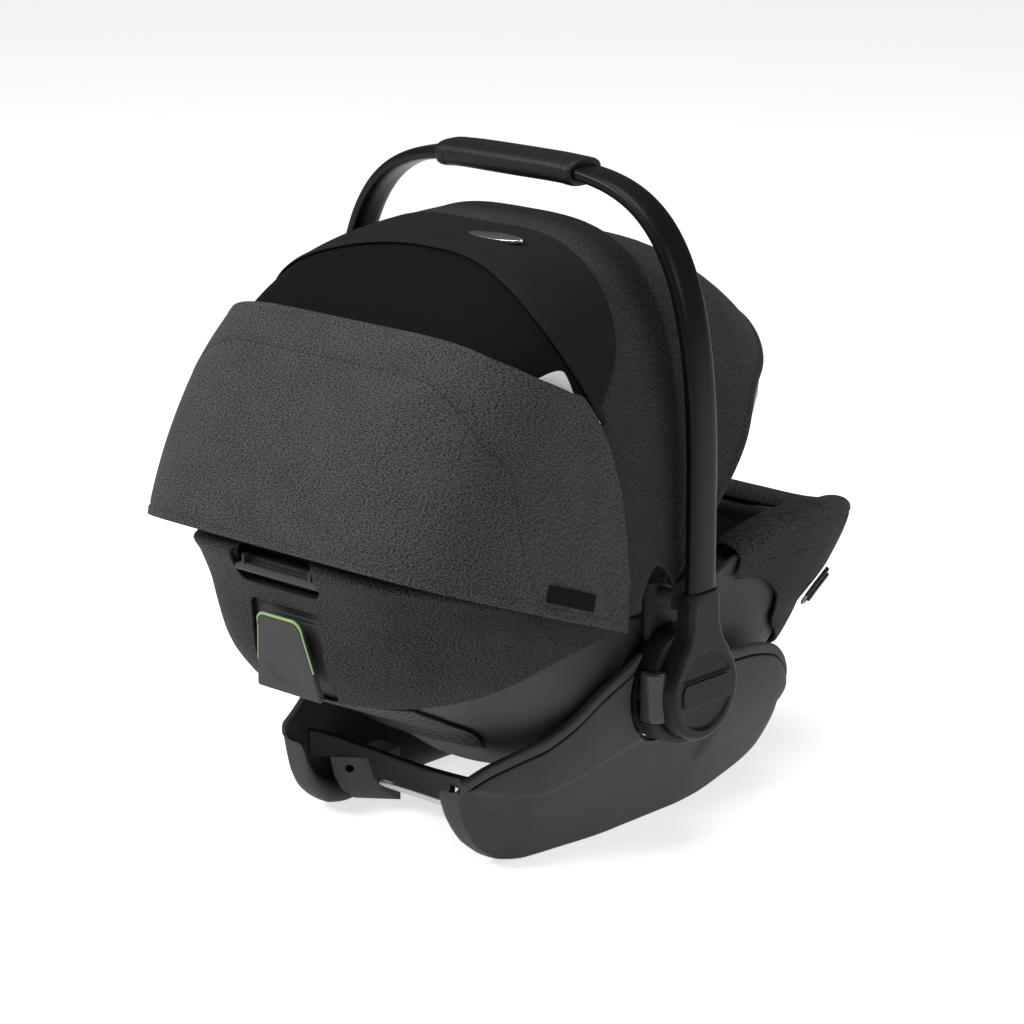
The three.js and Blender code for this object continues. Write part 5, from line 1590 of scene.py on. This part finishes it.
@dataclass
class HeadEnd:
    """Release lever with its housing, the belt slot's bar, and the vent panel under the lever."""

    bucket: Bucket
    height: float = 72.0
    top: float = 52.0
    bottom: float = 77.0
    corner: float = 9.0
    thick: float = 6.0
    tilt: float = 10.0
    base: Tuple[float, float] = (282.0, 168.0)

    @property
    def plane(self) -> Plane:
        """Face of the lever: its lower edge in the middle, leaning towards the head end."""
        lean = math.radians(self.tilt)
        return Plane((0, *self.base), (-1, 0, 0), (0, math.sin(lean), math.cos(lean)))

    def lever(self) -> None:
        """Lever: a tapered tongue with a finger hollow, and a green line round its upper edge."""
        h, r, top, bottom = self.height, self.corner, self.top / 2, self.bottom / 2
        turn = np.linspace(0, math.pi / 2, 10)
        arc = np.stack([top - r + r * np.cos(turn), h - r + r * np.sin(turn)], 1)
        right = np.concatenate([[[bottom - 2, 0.0], [bottom, 2.0]], arc])
        outline = np.concatenate([right, right[::-1] * np.array([-1, 1])])

        def hollow(flat: Array) -> Array:
            """Dish for the fingers in the lower half, and a shallow step below the top edge."""
            dish = 1 - smoothstep(np.hypot(flat[..., 0] / 25, (flat[..., 1] - 22) / 15), 0.55, 1.0)
            step = 1 - smoothstep(flat[..., 1], h - 13, h - 11)
            return -1.9 * dish - 0.7 * step

        piece = plate("release_lever", self.plane, outline, self.thick,
                      0.0, 1.8, 0.6, hollow, 44, (0, h * 0.48), 240)
        dress(piece, Finish.SHELL, "release_lever", "shell_plastic", "release_lever")
        edge = np.concatenate([[[mix(bottom, top, 0.42), (h - r) * 0.42]], arc])
        line = np.concatenate([edge, edge[::-1] * np.array([-1, 1])])
        path = self.plane.place(resample(line, 140), np.full(140, self.thick - 2.1))
        wide = mix(0.55, 1.0, smoothstep(path[:, 2], path[:, 2].max() - 14, path[:, 2].max() - 2))
        bead = sweep("lever_line", path, oval(3.0, 2.6, 16, 0.8), self.plane.out, wide)
        dress(bead, Finish.GREEN, "release_lever", "shell_plastic")

    def housing(self) -> None:
        """Housing behind the lever: a skin flush with the shell, a raised rim and three ribs near its top."""
        low, high = Frame.node("release_housing")
        x = mix(low[0], high[0], edge_dense(80, 0.01))[None]
        z = mix(low[2], high[2], edge_dense(90, 0.01))[:, None]
        x, z = np.broadcast_arrays(x, z)
        points = self.bucket.rear_face(x, z, 1.7)
        edge = edge_distance(points)
        rim = 0.9 * (1 - smoothstep(edge, 2.6, 3.6))
        ribs = sum(np.exp(-(((z - (high[2] - 5 - 5 * i)) / 0.9) ** 2))
                   for i in range(3)) * smoothstep(edge, 3, 4)
        piece = skin("release_housing", points, 2.4, rim + 0.9 * ribs)
        dress(piece, Finish.SHELL, "seat", "shell_plastic", "release_housing")

    def slot_bar(self) -> None:
        """Round bar across the belt slot, with a guide hook near each end."""
        low, high = Frame.node("belt_slot_bar")
        y, z = (low[1] + high[1]) / 2, (low[2] + high[2]) / 2
        r = (high[2] - low[2]) / 2
        x = high[0]
        bar = lathe_x("belt_slot_bar", [(0, -x), (r - 0.6, -x), (r, -x + 0.6),
                      (r, x - 0.6), (r - 0.6, x), (0, x)], y, z, 48)
        dress(bar, Finish.SHELL, "seat", "shell_plastic", "belt_slot_bar")
        for side in Side:
            plane = Plane((side.value * 40.0, y, z + 6), (0, -side.value, 0), (0, 0, 1))
            hook = plate("belt_guide_" + side.suffix, plane, round_box(7, 13, 2.5), 1.4, -1.4, 0.8, 0.8)
            dress(hook, Finish.SHELL, "seat", "shell_plastic")

    def vents(self) -> None:
        """Vent panel: a thin moulding that follows the shell, with rows of short slots sunk into it."""
        turn = mix(60, 120, edge_dense(230, 0.01))[None]
        rise = mix(0.18, 0.46, edge_dense(90, 0.02))[:, None]
        points = self.bucket.point(turn, rise, -2.5)
        uv = cloth_uv(points) * 1000
        column = np.abs((uv[..., 0] / 12.0 + 0.5) % 1 - 0.5) * 12.0
        row = np.abs((uv[..., 1] / 9.0) % 1 - 0.5) * 9.0
        hole = (1 - smoothstep(column, 2.4, 3.1)) * (1 - smoothstep(row, 0.9, 1.6))
        hole = hole * smoothstep(edge_distance(points), 4, 5)
        piece = skin("vent_panel", points, 2.8, -1.15 * hole)
        dress(piece, Finish.BASE_DARK, "seat", "shell_plastic", "vent_panel")

    def build(self) -> None:
        """All of the head end's fittings."""
        self.lever()
        self.housing()
        self.slot_bar()
        self.vents()


@dataclass
class FootButton:
    """Oblong push button in a bezel on each side of the foot end, with a green line under the bezel."""

    bucket: Bucket
    length: float = 62.0
    width: float = 20.0

    def plane(self, side: Side) -> Plane:
        """Face that the bezel stands on."""
        at, ahead, above = (mirror(self.bucket.point(np.array(turn), rise, -6.0), side)
                            for turn, rise in ((318.0, 0.62), (314.0, 0.64), (318.0, 0.72)))
        across = (at - ahead) * side.value
        up = above - at
        up = up - unit(across) * (up * unit(across)).sum()
        return Plane(tuple(at), tuple(across), tuple(up))

    def build(self) -> None:
        """Bezels, buttons and lines."""
        for side in Side:
            plane = self.plane(side)

            def well(flat: Array) -> Array:
                """Floor sunk inside the bezel's rim."""
                return -3.5 * (1 - smoothstep(depth_in_box(flat, 55.6, 13.6, 6.7), -0.5, 0.0))

            bezel = plate("foot_bezel_" + side.suffix, plane, round_box(self.length, self.width, 9.8), 5.6, 1.6, 1.3, 0.4,
                          well, 40, count=200)
            dress(bezel, Finish.BASE, "seat", "shell_plastic", "foot_bezel_" + side.suffix)
            button = plate("foot_button_" + side.suffix, plane, round_box(self.length - 8.6, self.width - 8.8, 5.4), 8.5, 5.6,
                           1.6, 0.4, None, 20, count=160)
            dress(
    button,
    Finish.BUTTON,
    "foot_button_" +
    side.suffix,
    "shell_plastic",
    "foot_button_" +
     side.suffix)
            flip = side.value
            flat = rounded(np.array([[flip * 31.2, 3], [flip * 31.4, -5],
                           [flip * 26, -10.6], [flip * -6, -10.8]]), 4, False)
            path = plane.place(resample(flat, 80), np.full(80, 3.4))
            line = sweep("foot_line_" + side.suffix, path, oval(1.9, 2.2, 14, 0.8), plane.out)
            dress(line, Finish.GREEN, "seat", "shell_plastic")


# ---------------------------------------------------------------- padding and harness


def inflate(piece: bpy.types.Object, voxel: float, pressure: float, limit: float,
            held: Optional[Callable[[Array], Array]] = None) -> None:
    """Fills a sewn cover with air: an even mesh, cloth under pressure, then one subdivision.

    Args:
        piece: closed cover, slightly smaller than the finished pad.
        voxel: size of the even mesh's squares, in millimetres.
        pressure: air pressure of the simulation.
        limit: furthest that any point may move, in millimetres.
        held: gives 1 where the cover is held still and 0 where it is free.
    """
    remesh = piece.modifiers.new("even", "REMESH")
    remesh.mode, remesh.voxel_size = "VOXEL", voxel * 0.001
    bake(piece)
    start = read_points(piece)
    cloth = piece.modifiers.new("air", "CLOTH")
    cloth.settings.use_pressure = True
    cloth.settings.uniform_pressure_force = pressure
    cloth.settings.effector_weights.gravity = 0
    cloth.settings.quality = 4
    cloth.settings.tension_stiffness = 12
    cloth.settings.compression_stiffness = 12
    cloth.settings.bending_stiffness = 0.4
    if held is not None:
        group = piece.vertex_groups.new(name="held")
        group.add(np.flatnonzero(held(start) > 0.5).tolist(), 1.0, "REPLACE")
        cloth.settings.vertex_group_mass = group.name
    cloth.point_cache.frame_start, cloth.point_cache.frame_end = 1, 20
    scene = bpy.context.scene
    for step in range(1, 21):
        scene.frame_set(step)
    bake(piece)
    moved = read_points(piece) - start
    size = np.linalg.norm(moved, axis=1, keepdims=True)
    moved = moved * np.minimum(1, limit / np.maximum(size, 1e-6))
    piece.data.vertices.foreach_set("co", Frame.metres(start + moved).astype(np.float32).ravel())
    scene.frame_set(1)
    smooth = piece.modifiers.new("fine", "SUBSURF")
    smooth.levels = smooth.render_levels = 1
    bake(piece)
    finish_mesh(piece.data, 75)


def read_points(piece: bpy.types.Object) -> Array:
    """A piece's corners in hub millimetres."""
    place = np.zeros(len(piece.data.vertices) * 3, np.float32)
    piece.data.vertices.foreach_get("co", place)
    return Frame.millimetres(place.reshape(-1, 3))


@dataclass
class SoftGoods:
    """Seat pad, headrest, harness straps with their pads, buckle, tongues and adjuster."""

    bucket: Bucket
    pad_outer: float = 28.0
    pad_inner: float = 40.5
    strap_width: float = 38.0
    buckle: Tuple[float, float, float] = (0.0, -30.0, 118.0)
    buckle_tilt: float = 18.0
    adjuster: Tuple[float, float, float] = (0.0, -236.0, 168.0)
    adjuster_tilt: float = 48.0
    rest: Tuple[float, float, float] = (0.0, 124.0, 181.0)
    rest_tilt: float = 27.0

    @staticmethod
    def tilted(place: Tuple[float, float, float], tilt: float) -> Plane:
        """Face that lies flat when its tilt is 0 and leans about X."""
        a = math.radians(tilt)
        return Plane(place, (1, 0, 0), (0, math.cos(a), math.sin(a)))

    def seat_pad(self) -> None:
        """Pad that lines the bucket: quilted by seams that follow the back, the sides and the seat."""
        turn = np.linspace(0, 360, 150, endpoint=False)[None]
        wall = self.pad_inner - self.pad_outer
        rise = np.concatenate([[0.0, 0.01], np.linspace(0.04, 0.95, 34)])[:, None]
        over = np.linspace(0, math.pi, 7)[:, None]
        inset = np.concatenate([np.full_like(rise, self.pad_outer), self.pad_outer + wall / 2 * (1 - np.cos(over)),
                                np.full_like(rise, self.pad_inner)])
        rises = np.concatenate([rise, 0.955 + 0.02 * np.sin(over), rise[::-1]])
        piece = loft("seat_pad", self.bucket.point(turn, rises, inset), 60)
        lines = [self.bucket.point(np.linspace(0, 360, 181), level, self.pad_inner)
                                   for level in (0.2, 0.42, 0.66, 0.86)]
        lines += [self.bucket.point(np.full(40, t), np.linspace(0.1, 0.95, 40), self.pad_inner)
                  for t in (52.0, 128.0, 226.0, 314.0, 0.0, 180.0)]

        def held(points: Array) -> Array:
            """The face against the foam, and the seams on the face against the child."""
            back = self.bucket.depth(points) < (self.pad_outer + self.pad_inner) / 2
            near = np.min([distance_to_path(points, line) for line in lines], axis=0) < 3.2
            return (back | near).astype(float)

        inflate(piece, 5.0, 4.0, 6.0, held)
        dress(piece, Finish.LINING, "seat", "lining", "seat_pad")

    def headrest(self) -> None:
        """Horseshoe cushion on the sloping back."""
        plane = self.tilted(self.rest, self.rest_tilt)
        turn = np.linspace(math.pi, 0, 40)
        arc = np.stack([49 * np.cos(turn), 24 + 49 * np.sin(turn)], 1)
        flat = np.concatenate([[[-49, 6.0]], arc, [[49, 6.0]]])
        path = plane.place(resample(flat, 90), np.full(90, 11.0))
        s = np.minimum(np.arange(90), np.arange(90)[::-1]) * 2.4
        size = 0.62 + 0.38 * np.sqrt(np.maximum(0, 1 - (1 - np.clip(s / 10, 0, 1)) ** 2))
        piece = sweep("headrest", path, oval(31, 18, 32, 0.8), plane.out, size)

        def held(points: Array) -> Array:
            """The underside that lies on the pad."""
            return ((points - np.array(self.rest)) @ plane.out < 4.0).astype(float)

        inflate(piece, 4.0, 4.0, 6.0, held)
        dress(piece, Finish.LINING, "headrest", "lining", "headrest")

    def strip(self, name: str, path: Array, normal: Array, width: float, thickness: float, finish: Finish,
              slot: str) -> bpy.types.Object:
        """Webbing along a path: a flat band with rounded selvedges."""
        path = resample(rounded(path, 3, False), 60)
        way = unit(np.gradient(path, axis=0))
        side = unit(np.cross(way, np.broadcast_to(normal, path.shape)))
        u = (edge_dense(24, 0.03) - 0.5) * width
        grid = path[:, None] + side[:, None] * u[None, :, None]
        piece = skin(name, grid, thickness)
        dress(piece, finish, "seat", slot, name)
        declare_sheet(grid)
        return piece

    def straps(self) -> None:
        """Two shoulder straps, their sleeve pads and the crotch strap."""
        for side in Side:
            rise = np.array([0.44, 0.38, 0.31, 0.24, 0.17, 0.1])
            line = mirror(self.bucket.point(np.full(6, 74.0), rise, 50.5), side)
            beside = mirror(self.bucket.point(np.full(6, 78.0), rise, 50.5), side)
            normal = unit(np.cross(np.gradient(line, axis=0), beside - line)).mean(0)
            self.strip(
    "shoulder_strap_" +
    side.suffix,
    line,
    normal,
    self.strap_width,
    1.9,
    Finish.WEBBING,
     "webbing")
            rise = np.array([0.3, 0.25, 0.2, 0.15])
            line = resample(mirror(self.bucket.point(np.full(4, 74.0), rise, 57.5), side), 40)
            share = np.minimum(np.arange(40), np.arange(40)[::-1]) / 39 * np.linalg.norm(line[-1] - line[0])
            size = 0.7 + 0.3 * np.sqrt(np.maximum(0, 1 - (1 - np.clip(share / 8, 0, 1)) ** 2))
            pad = sweep("strap_pad_" + side.suffix, line, oval(49, 5.6, 40, 0.6), normal, size)
            inflate(pad, 4.0, 4.0, 5.0)
            dress(pad, Finish.LINING, "seat", "lining", "strap_pad_" + side.suffix)
        crotch = np.array([[0, -66, 108.5], [0, -90, 105], [0, -118, 106.0]])
        self.strip("crotch_strap", crotch, np.array([0, 0, 1.0]),
                   self.strap_width, 1.9, Finish.WEBBING, "webbing")

    def hardware(self) -> None:
        """Buckle with its button, the tongues, and the harness adjuster with its button."""
        plane = self.tilted(self.buckle, self.buckle_tilt)

        def well(width: float, height: float, y: float, depth: float) -> Callable[[Array], Array]:
            """Pocket for a button."""
            return lambda flat: -depth * \
                (1 - smoothstep(depth_in_box(flat - np.array([0, y]), width, height, 3), -0.6, 0))

        body = plate("buckle_body", plane, round_box(58, 62, 12), 10.0, -10.0, 4.5, 3.0, well(27.0, 21.0, -8, 7.6), 60,
                     count=220)
        dress(body, Finish.SHELL, "seat", "shell_plastic", "buckle_body")
        low = Plane(tuple(plane.place(np.array([[0.0, -8.0]]), np.array([0.0]))[0]), plane.across, plane.up)
        red = plate("buckle_button", low, round_box(24.8, 18.8, 3), 12.8, 6.2, 1.6, 0.5)
        dress(red, Finish.RED, "buckle_button", "buckle_red", "buckle_button")
        for side in Side:
            origin = plane.place(np.array([[12.0 * side.value, 46.0]]), np.array([2.0]))[0]
            tongue = plate("buckle_tongue_" + side.suffix, Plane(tuple(origin), plane.across, plane.up),
                           round_box(16, 26, 3), 1.5, -1.5, 0.7, 0.7)
            dress(tongue, Finish.STEEL, "seat", "steel", "buckle_tongue_" + side.suffix)
        plane = self.tilted(self.adjuster, self.adjuster_tilt)
        body = plate("harness_adjuster", plane, round_box(44, 34, 5),
                     5.0, -5.0, 1.8, 1.0, well(27.0, 17.0, 2, 4.4), 44)
        dress(body, Finish.SHELL, "seat", "shell_plastic", "harness_adjuster")
        low = Plane(tuple(plane.place(np.array([[0.0, 2.0]]), np.array([0.0]))[0]), plane.across, plane.up)
        button = plate("adjuster_button", low, round_box(24.6, 14.6, 3), 7.4, 3.4, 1.0, 0.4)
        dress(button, Finish.BUTTON, "adjuster_button", "button_grey", "adjuster_button")

    def build(self) -> None:
        """All of the padding and harness."""
        self.seat_pad()
        self.headrest()
        self.straps()
        self.hardware()


# ---------------------------------------------------------------- carried-over parts


@dataclass(frozen=True)
class Carried:
    """A CAD part that is kept as it is but for softened edges."""

    node: str
    body: str
    finish: Finish
    slot: str
    bevel: float = 0.8

    def build(self) -> None:
        """Copies the node's mesh, joins its loose corners, softens its edges and stands it in for the node."""
        source = bpy.data.objects[self.node]
        piece = bpy.data.objects.new(self.node + "_soft", source.data.copy())
        bpy.context.scene.collection.objects.link(piece)
        work = bmesh.new()
        work.from_mesh(piece.data)
        work.transform(source.matrix_world)
        bmesh.ops.remove_doubles(work, verts=work.verts, dist=2e-6)
        bmesh.ops.dissolve_limit(work, angle_limit=math.radians(1.5), verts=work.verts, edges=work.edges)
        work.to_mesh(piece.data)
        work.free()
        if self.bevel > 0:
            edge = piece.modifiers.new("soft", "BEVEL")
            edge.width, edge.segments, edge.limit_method = self.bevel * 0.001, 3, "ANGLE"
            edge.angle_limit = math.radians(38)
            bake(piece)
        finish_mesh(piece.data, 40)
        dress(piece, self.finish, self.body, self.slot, self.node)


def carried_parts() -> List[Carried]:
    """Every CAD part that is carried over."""
    parts = [
        Carried("foam_liner", "seat", Finish.FOAM, "foam", 1.5),
        Carried("front_crossmember", "seat", Finish.BASE_DARK, "base_plastic", 2.0),
        Carried("dock_bar_front", "seat", Finish.STEEL, "steel", 0.5),
        Carried("dock_bar_rear", "seat", Finish.STEEL, "steel", 0.5),
        Carried("hood_bow", "hood", Finish.STEEL, "steel", 0.0),
        Carried("visor_bow", "visor", Finish.STEEL, "steel", 0.0),
    ]
    for side in Side:
        end = "_" + side.suffix
        parts += [
            Carried("pivot_boss" + end, "seat", Finish.SHELL, "shell_plastic", 1.0),
            Carried("pivot_bolt" + end, "handle", Finish.STEEL, "steel", 0.5),
            Carried("canopy_mount" + end, "seat", Finish.SHELL, "shell_plastic", 0.8),
            Carried("hub_spring" + end, "hub_button" + end, Finish.STEEL, "steel", 0.0),
            Carried("rear_cap" + end, "seat", Finish.BASE, "base_plastic", 1.6),
        ]
    return parts


# ---------------------------------------------------------------- studio


@dataclass
class Studio:
    """Plain pale floor, soft boxes and the camera."""

    azimuth: float = 222.33
    elevation: float = 15.73
    distance: float = 3.115
    lens: float = 121.9
    target: Tuple[float, float, float] = (0.0, 0.015, 0.2813)
    shift: Tuple[float, float] = (-0.0049, -0.0145)

    def floor(self) -> None:
        """Wide plain floor, too pale to show an edge."""
        mesh = bpy.data.meshes.new("studio_floor")
        half = 14.0
        mesh.from_pydata([(-half, -half, 0), (half, -half, 0), (half, half, 0),
                         (-half, half, 0)], [], [(0, 1, 2, 3)])
        piece = bpy.data.objects.new("studio_floor", mesh)
        bpy.context.scene.collection.objects.link(piece)
        n = Nodes("studio_white")
        n.set(Base_Color=(0.7, 0.7, 0.7, 1), Roughness=0.9, Specular_IOR_Level=0.0,
              Emission_Color=(1, 1, 1, 1), Emission_Strength=0.7)
        mesh.materials.append(n.material)

    def soft_box(self, name: str, place: Tuple[float, float, float], size: float, power: float) -> None:
        """Square area light aimed at the seat."""
        data = bpy.data.lights.new(name, "AREA")
        data.shape, data.size, data.energy = "SQUARE", size, power
        light = bpy.data.objects.new(name, data)
        light.location = place
        light.rotation_euler = (Vector(self.target) - Vector(place)).to_track_quat("-Z", "Y").to_euler()
        bpy.context.scene.collection.objects.link(light)

    def camera(self) -> None:
        """Camera at the viewing angle, with a small shift and no depth of field."""
        a, e = math.radians(self.azimuth), math.radians(self.elevation)
        back = Vector((math.sin(a) * math.cos(e), -math.cos(a) * math.cos(e), math.sin(e)))
        data = bpy.data.cameras.new("studio_camera")
        data.lens, data.sensor_width = self.lens, 36.0
        data.shift_x, data.shift_y = self.shift
        camera = bpy.data.objects.new("studio_camera", data)
        camera.location = Vector(self.target) + back * self.distance
        camera.rotation_euler = back.to_track_quat("Z", "Y").to_euler()
        bpy.context.scene.collection.objects.link(camera)
        bpy.context.scene.camera = camera

    def build(self) -> None:
        """Sets the studio up."""
        self.floor()
        self.soft_box("key_light", (1.5, 2.6, 2.6), 1.4, 120)
        self.soft_box("side_light", (-3.0, -0.6, 1.9), 1.2, 18)
        self.soft_box("top_light", (-0.2, 0.1, 3.4), 2.2, 75)
        world = bpy.data.worlds.new("studio_world")
        world.use_nodes = True
        background = world.node_tree.nodes["Background"]
        background.inputs["Color"].default_value = (1, 1, 1, 1)
        background.inputs["Strength"].default_value = 0.16
        scene = bpy.context.scene
        scene.world = world
        scene.view_settings.view_transform = "Standard"
        self.camera()


# ---------------------------------------------------------------- whole seat


def main() -> None:
    """Builds the seat and the studio."""
    logging.basicConfig(level=logging.INFO, format="%(message)s")
    bucket = Bucket()
    Covers(bucket).build()
    Canopy().build()
    Handle().build()
    Base().build()
    HeadEnd(bucket).build()
    FootButton(bucket).build()
    SoftGoods(bucket).build()
    for part in carried_parts():
        part.build()
    Studio().build()


if __name__ == "__main__":
    main()
